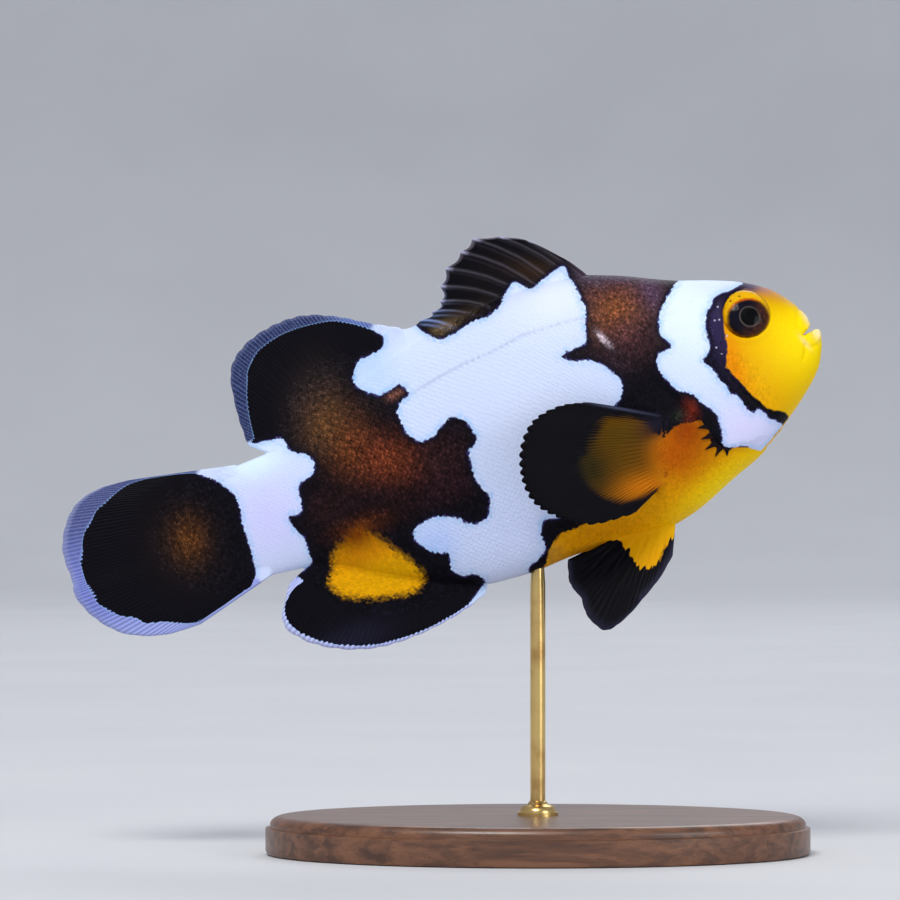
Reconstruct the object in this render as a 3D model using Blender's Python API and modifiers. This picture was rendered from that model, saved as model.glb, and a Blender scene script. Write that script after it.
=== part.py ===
"""A clownfish on a display stand, as a still, life-size museum model.

Metres, +Z up. The head points to +X and the fish's left side to +Y. The origin is at the middle of the
whole model's box, on the surface that the stand rests on. The fish is first described lying straight, in
millimetres: u runs from the snout back to the tail, v runs up from the snout's line, and w runs out to the
fish's left. pose() then turns it nose up and swings the tail.
"""

import math

import bmesh
import bpy
import numpy as np
from mathutils import Euler, Matrix, Vector

MM = 0.001
GAP = 0.3  # between neighbouring solids

# The pose over the stand.
NOSE_UP = math.radians(18)
TAIL_SWING = 2.6  # how far the tail's end is swung to the fish's left
SWING_FROM, SWING_OVER = 26.0, 55.0  # where along u the swing starts, and the length that it grows over
CLEARANCE = 17.0  # from the stand's top to the lowest fin

# The body's profile: (u, height) along the back and the belly, and (u, half width) seen from above.
BACK = [
    (-0.75, 0.60), (-0.62, 0.86), (-0.35, 0.95), (0.00, 1.00), (0.12, 2.30), (0.40, 3.10), (1.00, 4.20),
    (2.50, 5.95), (5.00, 7.65), (8.00, 8.95), (12.0, 10.25), (18.0, 12.75), (22.0, 13.90), (26.0, 14.20),
    (32.0, 13.80), (40.0, 12.20), (48.0, 9.60), (54.0, 7.30), (57.0, 6.35), (59.5, 6.15), (63.0, 6.50),
]
BELLY = [
    (-0.75, 0.50), (-0.60, -0.50), (-0.30, -1.40), (0.50, -3.00), (3.00, -5.50), (6.00, -7.75), (9.00, -9.85),
    (12.0, -11.10), (18.0, -13.55), (21.5, -14.15), (26.0, -13.90), (30.0, -13.70), (35.0, -14.05),
    (39.0, -13.90), (44.0, -12.40), (50.0, -9.60), (55.0, -6.95), (58.0, -6.30), (61.0, -6.10), (63.0, -6.25),
]
HALF_WIDTH = [
    (-0.75, 0.00), (-0.62, 0.70), (-0.30, 1.20), (0.00, 1.50), (0.50, 1.90), (1.50, 2.55), (3.50, 3.50),
    (6.00, 4.35), (9.00, 5.15), (13.0, 5.85), (18.0, 6.25), (24.0, 6.10), (32.0, 5.40), (40.0, 4.35),
    (48.0, 3.20), (54.0, 2.40), (59.0, 1.75), (63.0, 1.25),
]
# Where the body is widest, as a share of its depth from below, and how round it is above and below that
# height: 2 is an ellipse, and less is a ridge.
WIDEST_AT = [(0.0, 0.46), (10.0, 0.48), (22.0, 0.53), (40.0, 0.52), (63.0, 0.50)]
BACK_ROUNDNESS = [(0.0, 2.2), (8.0, 2.35), (18.0, 1.95), (40.0, 1.80), (63.0, 1.90)]
BELLY_ROUNDNESS = [(0.0, 2.1), (8.0, 2.15), (22.0, 2.20), (40.0, 1.85), (63.0, 1.90)]
# The snout's sections bend back at their sides: by SNOUT_BOW for each square millimetre of w, and less
# further back.
SNOUT_BOW, BOW_LENGTH = 0.22, 2.5
BODY_END = 62.3
# Sections are closest at the lips, and further apart along the trunk.
LIP_STATIONS = (-0.745, -0.62, -0.35, -0.05, 0.05, 0.30)
FACE_STATIONS, TRUNK_STATIONS, REAR_STATIONS = (0.8, 6.0, 7), (7.6, 20.0, 9), (22.4, BODY_END, 16)
AROUND = 32
SHARP_ANGLE = math.radians(40)

# Where the whole body is parted: lines of (u, v), cut straight across the fish.
NECK_CUT = [
    (11.6, 13.0), (13.6, 10.0), (16.4, 5.5), (16.9, 1.5),
    (15.6, -2.0), (14.0, -6.5), (11.8, -9.4), (10.2, -13.0),
]
TAIL_CUT = [(53.0, 12.0), (53.0, -12.0)]
JAW_CUT = [(-2.0, 0.80), (0.95, 0.72), (1.7, -0.5), (3.0, -2.9), (4.4, -5.2), (5.4, -9.5)]
MOUTH_GAP = [(0.95, 0.62), (0.95, 0.78), (0.25, 1.32), (-1.5, 2.6), (-1.5, 0.90), (0.0, 0.80)]
GILL_COVER = [
    (19.0, 6.6), (12.2, 6.5), (10.6, 5.6), (10.2, 4.0), (10.3, 2.0), (9.9, -1.2), (8.7, -4.6),
    (7.6, -6.5), (8.0, -7.6), (10.0, -8.1), (19.0, -8.3),
]
GILL_COVER_INNER = 3.4  # the cover's inner face, out from the fish's middle
REACH = 12.0  # how far out from the fish's middle the cutters reach
WALL_STEPS = 17  # points along a curved cut

# The eyes: ellipsoids that look out, a little up and forward.
EYE_AT = (6.13, 4.57, 2.80)
EYE_SIZE = (2.42, 2.42, 1.60)  # half sizes along u, v and w
EYE_TILT_UP, EYE_TILT_FORWARD = math.radians(18), math.radians(15)
EYE_SEGMENTS, EYE_RINGS = 20, 12

# Fins: where their bases start and end along u, how thick they are at the base, and their outline from the
# first ray's tip to the last one's, evenly spread over the rays.
SPINY_BASE, SOFT_BASE, ANAL_BASE = (20.1, 39.5), (40.2, 56.3), (39.6, 55.9)
SPINY_ROOT, SOFT_ROOT, ANAL_ROOT, CAUDAL_ROOT, PECTORAL_ROOT, PELVIC_ROOT = 1.2, 1.3, 1.3, 2.2, 1.2, 1.1
SPREAD = 1.15  # the spines' feet are closer together at the front, by this power
FIN_COLUMNS, FIN_ROWS = 19, 5
SPINY_EDGE = [
    (21.7, 15.45), (24.9, 18.6), (27.6, 19.95), (30.3, 20.6), (31.9, 19.7), (33.9, 18.55),
    (35.0, 16.95), (35.5, 15.5), (36.6, 14.75), (37.9, 14.3), (39.6, 14.1),
]
SOFT_EDGE = [
    (40.4, 14.3), (43.0, 15.6), (46.0, 17.3), (49.3, 18.5), (52.7, 18.5),
    (56.0, 17.5), (58.2, 15.4), (58.9, 11.4), (58.9, 7.5),
]
ANAL_EDGE = [
    (40.2, -14.5), (42.6, -15.4), (45.6, -16.1), (49.0, -16.5), (52.6, -16.4),
    (56.2, -15.4), (59.4, -13.5), (61.1, -10.9), (59.3, -7.4),
]
CAUDAL_EDGE = [
    (71.8, 7.95), (75.0, 8.05), (77.6, 7.3), (79.4, 5.5), (80.5, 3.0), (80.5, -0.1),
    (80.65, -1.9), (79.4, -4.6), (77.0, -7.0), (73.3, -8.35), (69.3, -8.5),
]
PECTORAL_BASE = [(17.2, -2.9), (18.3, -6.0), (19.7, -9.2)]
PECTORAL_EDGE = [
    (24.6, 1.0), (27.5, 1.5), (30.4, 0.9), (32.4, -1.2), (33.3, -4.2),
    (32.9, -7.0), (31.0, -9.2), (28.0, -10.95), (23.5, -11.3),
]
PELVIC_BASE = (19.2, 24.6)
PELVIC_EDGE = [
    (20.9, -16.7), (22.9, -18.45), (25.2, -19.9), (27.5, -21.2), (29.8, -21.75),
    (31.0, -20.1), (31.1, -18.0), (31.7, -16.3), (31.2, -13.9),
]
SPINES = 11
SPINE_NOTCH = 0.35  # how far the membrane dips between two spines
COLUMNS_PER_SPINE = 4
FIN_TIP = 0.5  # thickness at every fin's edge
THINNING = 1.5  # how fast a fin thins from its base, as a power
PECTORAL_FLARE = math.radians(20)  # how far the pectoral fins stand off the flanks
PELVIC_SPREAD = math.radians(16)
PELVIC_OUT = 1.25  # the pelvic fins' bases, out from the middle

# The stand: an oval plate and one rod up to the belly.
ROD_AT = 34.5  # u, where the rod meets the belly
ROD_RADIUS = 1.0
ROD_SINK = 1.0  # how far the rod is let into the plate
PLATE_LENGTH, PLATE_WIDTH, PLATE_HEIGHT = 56.0, 36.0, 4.0
PLATE_BEVEL = 0.8
PLATE_SIDES, ROD_SIDES = 56, 24

COLOURS = {  # base colour, roughness, metallic
    "yellow_skin": ((0.90, 0.52, 0.02), 0.35, 0.0),
    "white_skin": ((0.86, 0.88, 0.96), 0.35, 0.0),
    "dark_fin": ((0.03, 0.02, 0.02), 0.40, 0.0),
    "eye": ((0.01, 0.01, 0.01), 0.05, 0.0),
    "brass": ((0.78, 0.57, 0.25), 0.25, 1.0),
    "walnut": ((0.16, 0.08, 0.04), 0.45, 0.0),
}


def through(points, rising=False):
    """A smooth function of x through (x, y) points; with rising, it never swings past its points."""
    xs, ys = np.array(points, float).T
    steps = np.diff(xs)
    slopes = np.diff(ys) / steps
    tangents = np.empty(len(xs))
    tangents[[0, -1]] = slopes[[0, -1]]
    before, after = slopes[:-1], slopes[1:]
    if rising:
        same_way = before * after > 0
        harmonic = 2 * before * after / np.where(same_way, before + after, 1.0)
        tangents[1:-1] = np.where(same_way, harmonic, 0.0)
    else:
        tangents[1:-1] = (before * steps[1:] + after * steps[:-1]) / (steps[1:] + steps[:-1])

    def value(x):
        x = np.clip(x, xs[0], xs[-1])
        k = np.clip(np.searchsorted(xs, x, "right") - 1, 0, len(steps) - 1)
        t = (x - xs[k]) / steps[k]
        return (
            ys[k] * (1 + 2 * t) * (1 - t) ** 2
            + tangents[k] * steps[k] * t * (1 - t) ** 2
            + ys[k + 1] * t * t * (3 - 2 * t)
            + tangents[k + 1] * steps[k] * t * t * (t - 1)
        )

    return value


def line_through(points):
    """A smooth line of (u, v) over t from 0 to 1, through evenly spread points."""
    ts = np.linspace(0, 1, len(points))
    u = through([(t, p[0]) for t, p in zip(ts, points)])
    v = through([(t, p[1]) for t, p in zip(ts, points)])
    return lambda t: np.array([u(t), v(t)])


back = through(BACK, rising=True)
belly = through(BELLY, rising=True)
half_width = through(HALF_WIDTH, rising=True)
widest_share = through(WIDEST_AT)
back_roundness = through(BACK_ROUNDNESS)
belly_roundness = through(BELLY_ROUNDNESS)


def widest_height(u):
    return belly(u) + widest_share(u) * (back(u) - belly(u))


def flank(u, v):
    """How far out the body's side is at (u, v)."""
    middle = widest_height(u)
    above = v > middle
    reach = np.where(above, back(u) - middle, middle - belly(u))
    power = np.where(above, back_roundness(u), belly_roundness(u))
    share = np.clip(np.abs(v - middle) / reach, 0, 1)
    return half_width(u) * (1 - share**power) ** (1 / power)


def underside(u, w):
    """The height of the belly's surface at (u, w)."""
    share = np.clip(abs(w) / half_width(u), 0, 1)
    power = belly_roundness(u)
    middle = widest_height(u)
    return middle - (middle - belly(u)) * (1 - share**power) ** (1 / power)


def pose(u, v, w):
    """The straight fish's (u, v, w) in millimetres as a place in metres, before set_on_origin()."""
    swing = TAIL_SWING * (max(u - SWING_FROM, 0) / SWING_OVER) ** 2
    x = -u * math.cos(NOSE_UP) - v * math.sin(NOSE_UP)
    z = -u * math.sin(NOSE_UP) + v * math.cos(NOSE_UP)
    return Vector((x * MM, (w + swing) * MM, z * MM))


def material(name):
    found = bpy.data.materials.get(name)
    if found:
        return found
    colour, roughness, metallic = COLOURS[name]
    made = bpy.data.materials.new(name)
    made.use_nodes = True
    shader = made.node_tree.nodes["Principled BSDF"]
    shader.inputs["Base Color"].default_value = (*colour, 1)
    shader.inputs["Roughness"].default_value = roughness
    shader.inputs["Metallic"].default_value = metallic
    return made


def collection(name):
    found = bpy.data.collections.get(name)
    if not found:
        found = bpy.data.collections.new(name)
        bpy.context.scene.collection.children.link(found)
    return found


def add_object(name, mesh, colour=None):
    """A part of the model, or a cutter where no colour is given."""
    made = bpy.data.objects.new(name, mesh)
    collection("clownfish" if colour else "cutters").objects.link(made)
    if colour:
        mesh.materials.clear()
        mesh.materials.append(material(colour))
        shade_round(mesh)
    else:
        made.hide_render = True
        made.display_type = "WIRE"
    return made


def baked(made):
    """The object with its modifiers applied."""
    graph = bpy.context.evaluated_depsgraph_get()
    made.data = bpy.data.meshes.new_from_object(made.evaluated_get(graph))
    made.modifiers.clear()
    return made


def mesh_of_rings(name, rings):
    """A closed loft through rings of posed points, with a flat cap on each end."""
    mesh = bpy.data.meshes.new(name)
    shape = bmesh.new()
    loops = [[shape.verts.new(p) for p in ring] for ring in rings]
    count = len(loops[0])
    for one, two in zip(loops, loops[1:]):
        for k in range(count):
            shape.faces.new((one[k], one[(k + 1) % count], two[(k + 1) % count], two[k]))
    shape.faces.new(loops[0])
    shape.faces.new(loops[-1])
    bmesh.ops.recalc_face_normals(shape, faces=shape.faces)
    shape.to_mesh(mesh)
    shape.free()
    return mesh


def shade_round(mesh):
    """Smooth shading, with the cuts' edges kept sharp."""
    mesh.shade_smooth()
    mesh.set_sharp_from_angle(angle=SHARP_ANGLE)


def body_rings():
    """Sections from the lower lip's tip to the tail's root."""
    stations = list(LIP_STATIONS)
    for stretch in (FACE_STATIONS, TRUNK_STATIONS, REAR_STATIONS):
        stations.extend(np.linspace(*stretch))
    rings = []
    for u in stations:
        top, bottom, wide, middle = back(u), belly(u), half_width(u), widest_height(u)
        ring = []
        for k in range(AROUND):
            angle = 2 * math.pi * k / AROUND
            up, out = math.sin(angle), math.cos(angle)
            power = 2 / (back_roundness(u) if up > 0 else belly_roundness(u))
            w = wide * math.copysign(abs(out) ** power, out)
            v = middle + (top - middle if up > 0 else middle - bottom) * math.copysign(abs(up) ** power, up)
            bow = SNOUT_BOW * math.exp(-(u - stations[0]) / BOW_LENGTH) * w * w
            ring.append(pose(u + bow, v, w))
        rings.append(ring)
    return rings


def wall(name, points):
    """A cutter as thin as a gap, along a smooth line of (u, v), straight across the fish."""
    line = line_through(points)
    mesh = bpy.data.meshes.new(name)
    shape = bmesh.new()
    steps = np.linspace(0, 1, WALL_STEPS)
    pairs = [[shape.verts.new(pose(*line(t), w)) for w in (-REACH, REACH)] for t in steps]
    for one, two in zip(pairs, pairs[1:]):
        shape.faces.new((one[0], one[1], two[1], two[0]))
    shape.to_mesh(mesh)
    shape.free()
    made = add_object(name, mesh)
    thick = made.modifiers.new("thickness", "SOLIDIFY")
    thick.thickness = GAP * MM
    thick.offset = 0
    return baked(made)


def prism(name, outline, w_from, w_to, grow=0.0):
    """A cutter with that (u, v) outline between two widths, its outline and near face moved out by grow."""
    centre = np.mean(outline, axis=0)
    moved = [np.array(p) + grow * (p - centre) / np.linalg.norm(p - centre) for p in outline]
    near = w_from - math.copysign(grow, w_to)
    return add_object(name, mesh_of_rings(name, [[pose(*p, w) for p in moved] for w in (near, w_to)]))


def boolean(made, cutter, operation="DIFFERENCE"):
    cut = made.modifiers.new(cutter.name, "BOOLEAN")
    cut.object = cutter
    cut.operation = operation
    return baked(made)


def eyeball(name, side, grow=0.0):
    """The eye's mesh on one side: 1 is the left, -1 the right."""
    mesh = bpy.data.meshes.new(name)
    shape = bmesh.new()
    bmesh.ops.create_uvsphere(shape, u_segments=EYE_SEGMENTS, v_segments=EYE_RINGS, radius=1)
    size = Vector(EYE_SIZE) + Vector((grow, grow, grow))
    turn = Euler((-side * EYE_TILT_UP, -side * EYE_TILT_FORWARD, 0)).to_matrix()
    middle = Vector((EYE_AT[0], EYE_AT[1], side * EYE_AT[2]))
    for vert in shape.verts:
        vert.co = pose(*(middle + turn @ (vert.co * size)))
    shape.to_mesh(mesh)
    shape.free()
    return mesh


def parted(made):
    """Takes an object apart into its loose pieces, and gives their meshes from the snout back."""
    bpy.context.view_layer.objects.active = made
    made.select_set(True)
    bpy.ops.mesh.separate(type="LOOSE")
    pieces = list(bpy.context.selected_objects)
    meshes = [piece.data for piece in pieces]
    for piece in pieces:
        bpy.data.objects.remove(piece)
    return sorted(meshes, key=lambda mesh: -np.mean([v.co.x for v in mesh.vertices]))


def make_body():
    """The whole body, parted into jaw, head, gill covers, trunk and tail by thin cuts."""
    whole = add_object("whole_body", mesh_of_rings("whole_body", body_rings()))
    boolean(whole, prism("mouth_gap", MOUTH_GAP, -REACH, REACH))
    for name, line in (("jaw_cut", JAW_CUT), ("neck_cut", NECK_CUT), ("tail_cut", TAIL_CUT)):
        boolean(whole, wall(name, line))
    jaw_mesh, head_mesh, trunk_mesh, tail_mesh = parted(whole)
    add_object("lower_jaw", jaw_mesh, "yellow_skin")
    head = add_object("head", head_mesh, "yellow_skin")
    add_object("trunk", trunk_mesh, "white_skin")
    add_object("tail", tail_mesh, "white_skin")
    for side, where in ((1, "left"), (-1, "right")):
        boolean(head, add_object(f"eye_socket_{where}", eyeball(f"eye_socket_{where}", side, GAP)))
        add_object(f"eye_{where}", eyeball(f"eye_{where}", side), "eye")
        across = side * GILL_COVER_INNER, side * REACH
        cover = add_object(f"gill_cover_{where}", head.data.copy(), "white_skin")
        boolean(cover, prism(f"gill_cover_shape_{where}", GILL_COVER, *across), "INTERSECT")
        boolean(head, prism(f"gill_cover_room_{where}", GILL_COVER, *across, GAP))


def make_fin(name, base, edge, root, out=lambda t, u, v: 0.0, notch=None, columns=FIN_COLUMNS):
    """A fin as a sheet of rays from base(t) to edge(t), as thick as root at its base and thin at its edge.

    out(t, u, v) is how far to the left the sheet's middle lies, and notch(t) how far the edge dips."""
    mesh = bpy.data.meshes.new(name)
    shape = bmesh.new()
    thin = shape.verts.layers.deform.new()
    grid = []
    for t in np.linspace(0, 1, columns):
        foot, tip = base(t), edge(t)
        if notch:
            tip = tip - notch(t) * (tip - foot) / np.linalg.norm(tip - foot)
        ray = []
        for r in np.linspace(0, 1, FIN_ROWS):
            u, v = foot * (1 - r) + tip * r
            vert = shape.verts.new(pose(u, v, out(t, u, v)))
            vert[thin][0] = (1 - r) ** THINNING
            ray.append(vert)
        grid.append(ray)
    for one, two in zip(grid, grid[1:]):
        for k in range(FIN_ROWS - 1):
            shape.faces.new((one[k], one[k + 1], two[k + 1], two[k]))
    shape.to_mesh(mesh)
    shape.free()
    fin = add_object(name, mesh, "dark_fin")
    fin.vertex_groups.new(name="root")
    thick = fin.modifiers.new("thickness", "SOLIDIFY")
    thick.thickness = root * MM
    thick.offset = 0
    thick.vertex_group = "root"
    thick.thickness_vertex_group = FIN_TIP / root


def make_median_fins():
    """The fins on the fish's middle line: both dorsals, the anal fin and the caudal fin."""

    def beside_body(stretch, contour, gap, power=1.0):
        """A base along the back or the belly."""

        def foot(t):
            u = stretch[0] + (stretch[1] - stretch[0]) * t**power
            return np.array([u, contour(u) + gap])

        return foot

    def spiny_notch(t):
        return SPINE_NOTCH * (1 - t / 2) * abs(math.sin(math.pi * t * (SPINES - 1)))

    def tail_root(t):
        return np.array([BODY_END + GAP, back(BODY_END) * (1 - t) + belly(BODY_END) * t])

    spiny_base = beside_body(SPINY_BASE, back, GAP, SPREAD)
    columns = COLUMNS_PER_SPINE * (SPINES - 1) + 1
    make_fin(
        "dorsal_fin_spiny", spiny_base, line_through(SPINY_EDGE), SPINY_ROOT,
        notch=spiny_notch, columns=columns,
    )
    make_fin("dorsal_fin_soft", beside_body(SOFT_BASE, back, GAP), line_through(SOFT_EDGE), SOFT_ROOT)
    make_fin("anal_fin", beside_body(ANAL_BASE, belly, -GAP), line_through(ANAL_EDGE), ANAL_ROOT)
    make_fin("caudal_fin", tail_root, line_through(CAUDAL_EDGE), CAUDAL_ROOT)


def make_paired_fins():
    """The pectoral and pelvic fins, left and right."""
    pectoral_base, pectoral_edge = line_through(PECTORAL_BASE), line_through(PECTORAL_EDGE)
    pelvic_edge = line_through(PELVIC_EDGE)

    def pelvic_base(t):
        u = PELVIC_BASE[0] + (PELVIC_BASE[1] - PELVIC_BASE[0]) * t
        return np.array([u, underside(u, PELVIC_OUT - PELVIC_ROOT / 2) - GAP])

    for side, where in ((1, "left"), (-1, "right")):

        def beside(t, u, v):
            foot = pectoral_base(t)
            away = math.dist(foot, (u, v))
            return side * (float(flank(*foot)) + GAP + PECTORAL_ROOT / 2 + math.tan(PECTORAL_FLARE) * away)

        def below(t, u, v):
            away = math.dist(pelvic_base(t), (u, v))
            return side * (PELVIC_OUT + math.tan(PELVIC_SPREAD) * away)

        make_fin(f"pectoral_fin_{where}", pectoral_base, pectoral_edge, PECTORAL_ROOT, beside)
        make_fin(f"pelvic_fin_{where}", pelvic_base, pelvic_edge, PELVIC_ROOT, below)


def lowest_point():
    """How low the fish reaches."""
    bpy.context.view_layer.update()
    graph = bpy.context.evaluated_depsgraph_get()
    shown = [o.evaluated_get(graph) for o in collection("clownfish").objects]
    return min((o.matrix_world @ Vector(corner)).z for o in shown for corner in o.bound_box)


def add_cylinder(name, radius, low, high, at, sides, colour=None):
    """A round rod or plate from one height to another, over the point at."""
    bpy.ops.mesh.primitive_cylinder_add(
        vertices=sides, radius=radius, depth=high - low, location=(at[0], at[1], (low + high) / 2)
    )
    primitive = bpy.context.object
    mesh = primitive.data
    bpy.data.objects.remove(primitive)
    made = add_object(name, mesh, colour)
    made.location = (at[0], at[1], (low + high) / 2)
    return made


def make_stand():
    """An oval plate with rounded edges, and a rod let into it that ends a gap below the belly."""
    plate_top = lowest_point() - CLEARANCE * MM
    bottom = plate_top - PLATE_HEIGHT * MM
    belly_point = pose(ROD_AT, float(belly(ROD_AT)), 0)
    at = belly_point.xy
    plate = add_cylinder("stand_base", PLATE_WIDTH / 2 * MM, bottom, plate_top, at, PLATE_SIDES, "walnut")
    plate.data.transform(Matrix.Scale(PLATE_LENGTH / PLATE_WIDTH, 4, (1, 0, 0)))
    rounding = plate.modifiers.new("rounding", "BEVEL")
    rounding.width = PLATE_BEVEL * MM
    rounding.segments = 2
    sunk = plate_top - ROD_SINK * MM
    add_cylinder("stand_rod", ROD_RADIUS * MM, sunk, belly_point.z - 2 * GAP * MM, at, ROD_SIDES, "brass")
    room = GAP * MM
    hole = add_cylinder("rod_hole", ROD_RADIUS * MM + room, sunk - room, plate_top + room, at, ROD_SIDES)
    socket = plate.modifiers.new("socket", "BOOLEAN")
    socket.object = hole


def set_on_origin():
    """Moves everything so that the model's box stands on the origin, its middle over it."""
    bpy.context.view_layer.update()
    graph = bpy.context.evaluated_depsgraph_get()
    shown = [o.evaluated_get(graph) for o in collection("clownfish").objects]
    corners = np.array([o.matrix_world @ Vector(c) for o in shown for c in o.bound_box])
    low, high = corners.min(axis=0), corners.max(axis=0)
    move = Vector((-(low[0] + high[0]) / 2, -(low[1] + high[1]) / 2, -low[2]))
    for made in bpy.data.objects:
        made.location += move


def main():
    for old in list(bpy.data.objects):
        bpy.data.objects.remove(old)
    make_body()
    make_median_fins()
    make_paired_fins()
    make_stand()
    set_on_origin()


main()
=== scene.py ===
import math

import bmesh
import bpy
import numpy as np
from mathutils import Matrix, Vector
from mathutils.bvhtree import BVHTree


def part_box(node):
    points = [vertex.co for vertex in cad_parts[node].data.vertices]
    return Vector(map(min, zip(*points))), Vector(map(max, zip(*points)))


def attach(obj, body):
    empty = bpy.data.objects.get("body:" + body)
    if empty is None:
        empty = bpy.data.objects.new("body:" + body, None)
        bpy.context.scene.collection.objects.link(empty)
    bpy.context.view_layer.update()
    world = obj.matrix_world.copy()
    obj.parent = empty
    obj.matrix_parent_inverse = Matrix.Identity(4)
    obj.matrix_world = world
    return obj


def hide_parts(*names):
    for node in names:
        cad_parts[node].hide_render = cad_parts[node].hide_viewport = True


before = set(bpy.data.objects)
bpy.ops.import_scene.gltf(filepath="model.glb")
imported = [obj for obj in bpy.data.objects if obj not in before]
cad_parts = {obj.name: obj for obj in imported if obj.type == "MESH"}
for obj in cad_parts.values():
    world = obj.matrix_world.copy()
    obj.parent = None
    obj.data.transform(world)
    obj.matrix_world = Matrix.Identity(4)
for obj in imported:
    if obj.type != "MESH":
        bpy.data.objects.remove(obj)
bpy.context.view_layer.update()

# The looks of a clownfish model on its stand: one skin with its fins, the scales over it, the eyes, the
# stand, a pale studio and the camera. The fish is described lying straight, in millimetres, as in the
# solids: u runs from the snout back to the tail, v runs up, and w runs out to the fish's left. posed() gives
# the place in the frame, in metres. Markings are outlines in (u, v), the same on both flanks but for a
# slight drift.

MM = 0.001
RNG = np.random.default_rng(7)
SIDES = (1, "left"), (-1, "right")

# The pose, as in the solids.
NOSE_UP = math.radians(18)
TAIL_SWING, SWING_FROM, SWING_OVER = 2.6, 26.0, 55.0
GAP = 0.3  # between the rod's solid and the belly
ROD_AT = 34.5

# The body's profile: heights along the back and the belly, half width, and roundness of the sections. Past
# u = 60 it thins out inside the tail fin.
BACK = [
    (-0.75, 0.60), (-0.62, 0.86), (-0.35, 0.95), (0.00, 1.00), (0.12, 2.30), (0.40, 3.10), (1.00, 4.20),
    (2.50, 5.95), (5.00, 7.65), (8.00, 8.95), (12.0, 10.25), (18.0, 12.75), (22.0, 13.90), (26.0, 14.20),
    (32.0, 13.80), (40.0, 12.20), (48.0, 9.60), (54.0, 7.30), (57.0, 6.35), (59.5, 6.10), (62.0, 5.95),
    (64.5, 5.20), (67.0, 3.40), (69.0, 0.80),
]
BELLY = [
    (-0.75, 0.50), (-0.60, -0.50), (-0.30, -1.40), (0.50, -3.00), (3.00, -5.50), (6.00, -7.75),
    (9.00, -9.85), (12.0, -11.10), (18.0, -13.55), (21.5, -14.15), (26.0, -13.90), (30.0, -13.70),
    (35.0, -14.05), (39.0, -13.90), (44.0, -12.40), (50.0, -9.60), (55.0, -6.95), (58.0, -6.30),
    (61.0, -6.05), (63.0, -5.70), (65.0, -4.90), (67.0, -3.40), (69.0, -0.80),
]
HALF_WIDTH = [
    (-0.75, 0.00), (-0.62, 0.70), (-0.30, 1.20), (0.00, 1.50), (0.50, 1.90), (1.50, 2.55), (3.50, 3.50),
    (6.00, 4.35), (9.00, 5.15), (13.0, 5.85), (18.0, 6.25), (24.0, 6.10), (32.0, 5.40), (40.0, 4.35),
    (48.0, 3.20), (54.0, 2.40), (59.0, 1.75), (63.0, 1.15), (66.0, 0.62), (69.0, 0.15),
]
WIDEST_AT = [(0.0, 0.46), (10.0, 0.48), (22.0, 0.53), (40.0, 0.52), (63.0, 0.50)]
BACK_ROUNDNESS = [(0.0, 2.2), (8.0, 2.35), (18.0, 1.95), (40.0, 1.80), (63.0, 1.90)]
BELLY_ROUNDNESS = [(0.0, 2.1), (8.0, 2.15), (22.0, 2.20), (40.0, 1.85), (63.0, 1.90)]
SNOUT_BOW, BOW_LENGTH = 0.22, 2.5
BODY_FROM, BODY_TO = -0.745, 68.9
BODY_ROWS = 77  # points round one flank
THINNEST = 0.05  # the least half width
SKIN_DEPTH = 0.13  # the skin under the scales lies this far inside the solids

# The head's relief.
EYE_AT, EYE_RADIUS = (6.27, 4.46), 2.32
EYE_OUT = 2.98  # the eyeball's middle, out from the fish's middle
EYE_TILT_UP, EYE_TILT_FORWARD = math.radians(16), math.radians(14)
MOUTH = [
    (1.05, 0.66), (1.00, 0.76), (0.55, 1.03), (0.10, 1.36), (-0.30, 1.68), (-1.60, 2.70), (-1.60, 1.00),
    (-0.75, 0.90), (-0.10, 0.82), (0.45, 0.74),
]
LIP_GROOVE = [(0.72, 3.40), (1.15, 2.60), (1.45, 1.75), (1.42, 0.95), (1.20, 0.50)]
JAW_GROOVE = [(0.95, 0.62), (1.10, 0.00), (1.45, -0.95), (1.90, -1.70)]
CHIN_GROOVE = [(-0.60, -0.35), (0.05, -0.75), (0.80, -0.80), (1.25, -0.35)]
CHEEK_EDGE = [
    (8.6, 6.2), (9.3, 4.6), (9.7, 2.6), (10.2, 0.6), (9.7, -1.4), (8.9, -3.2), (7.8, -4.9), (6.4, -6.2),
]
GILL_EDGE = [
    (12.2, 7.4), (14.6, 6.2), (16.2, 4.3), (16.8, 2.0), (16.4, -0.4), (15.1, -2.8), (14.1, -4.9),
    (13.4, -6.6), (12.4, -8.0), (10.6, -9.0), (8.0, -9.0),
]
NOSTRIL = (3.35, 4.75)
LATERAL_LINE = [
    (17.5, 8.3), (20.0, 9.0), (23.5, 9.4), (28.5, 9.5), (32.0, 8.9), (35.0, 8.6), (38.0, 8.1),
    (41.3, 7.3),
]

# Fins: outlines from the first ray's tip to the last one's, evenly spread over the rays.
SOFT_BASE, ANAL_BASE = (39.5, 56.4), (39.5, 56.0)
SPINE_FEET = [19.6, 20.3, 21.5, 23.4, 25.1, 26.8, 28.6, 30.4, 32.3, 34.9, 40.2]
SPINE_BOW = 0.065  # of a spine's length
SPINY_EDGE = [
    (21.7, 15.45), (24.9, 18.6), (27.6, 19.95), (30.3, 20.6), (31.9, 19.7), (33.9, 18.55), (35.0, 16.95),
    (35.5, 15.5), (36.6, 14.75), (38.0, 14.3), (40.7, 14.2),
]
SOFT_EDGE = [
    (40.2, 14.2), (43.0, 15.6), (46.0, 17.3), (49.3, 18.5), (52.7, 18.5), (56.0, 17.5), (58.2, 15.4),
    (58.9, 11.4), (58.9, 7.5),
]
ANAL_EDGE = [
    (40.2, -14.5), (42.6, -15.4), (45.6, -16.1), (49.0, -16.5), (52.6, -16.4), (56.2, -15.4),
    (59.4, -13.5), (61.1, -10.9), (59.3, -7.4),
]
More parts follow.
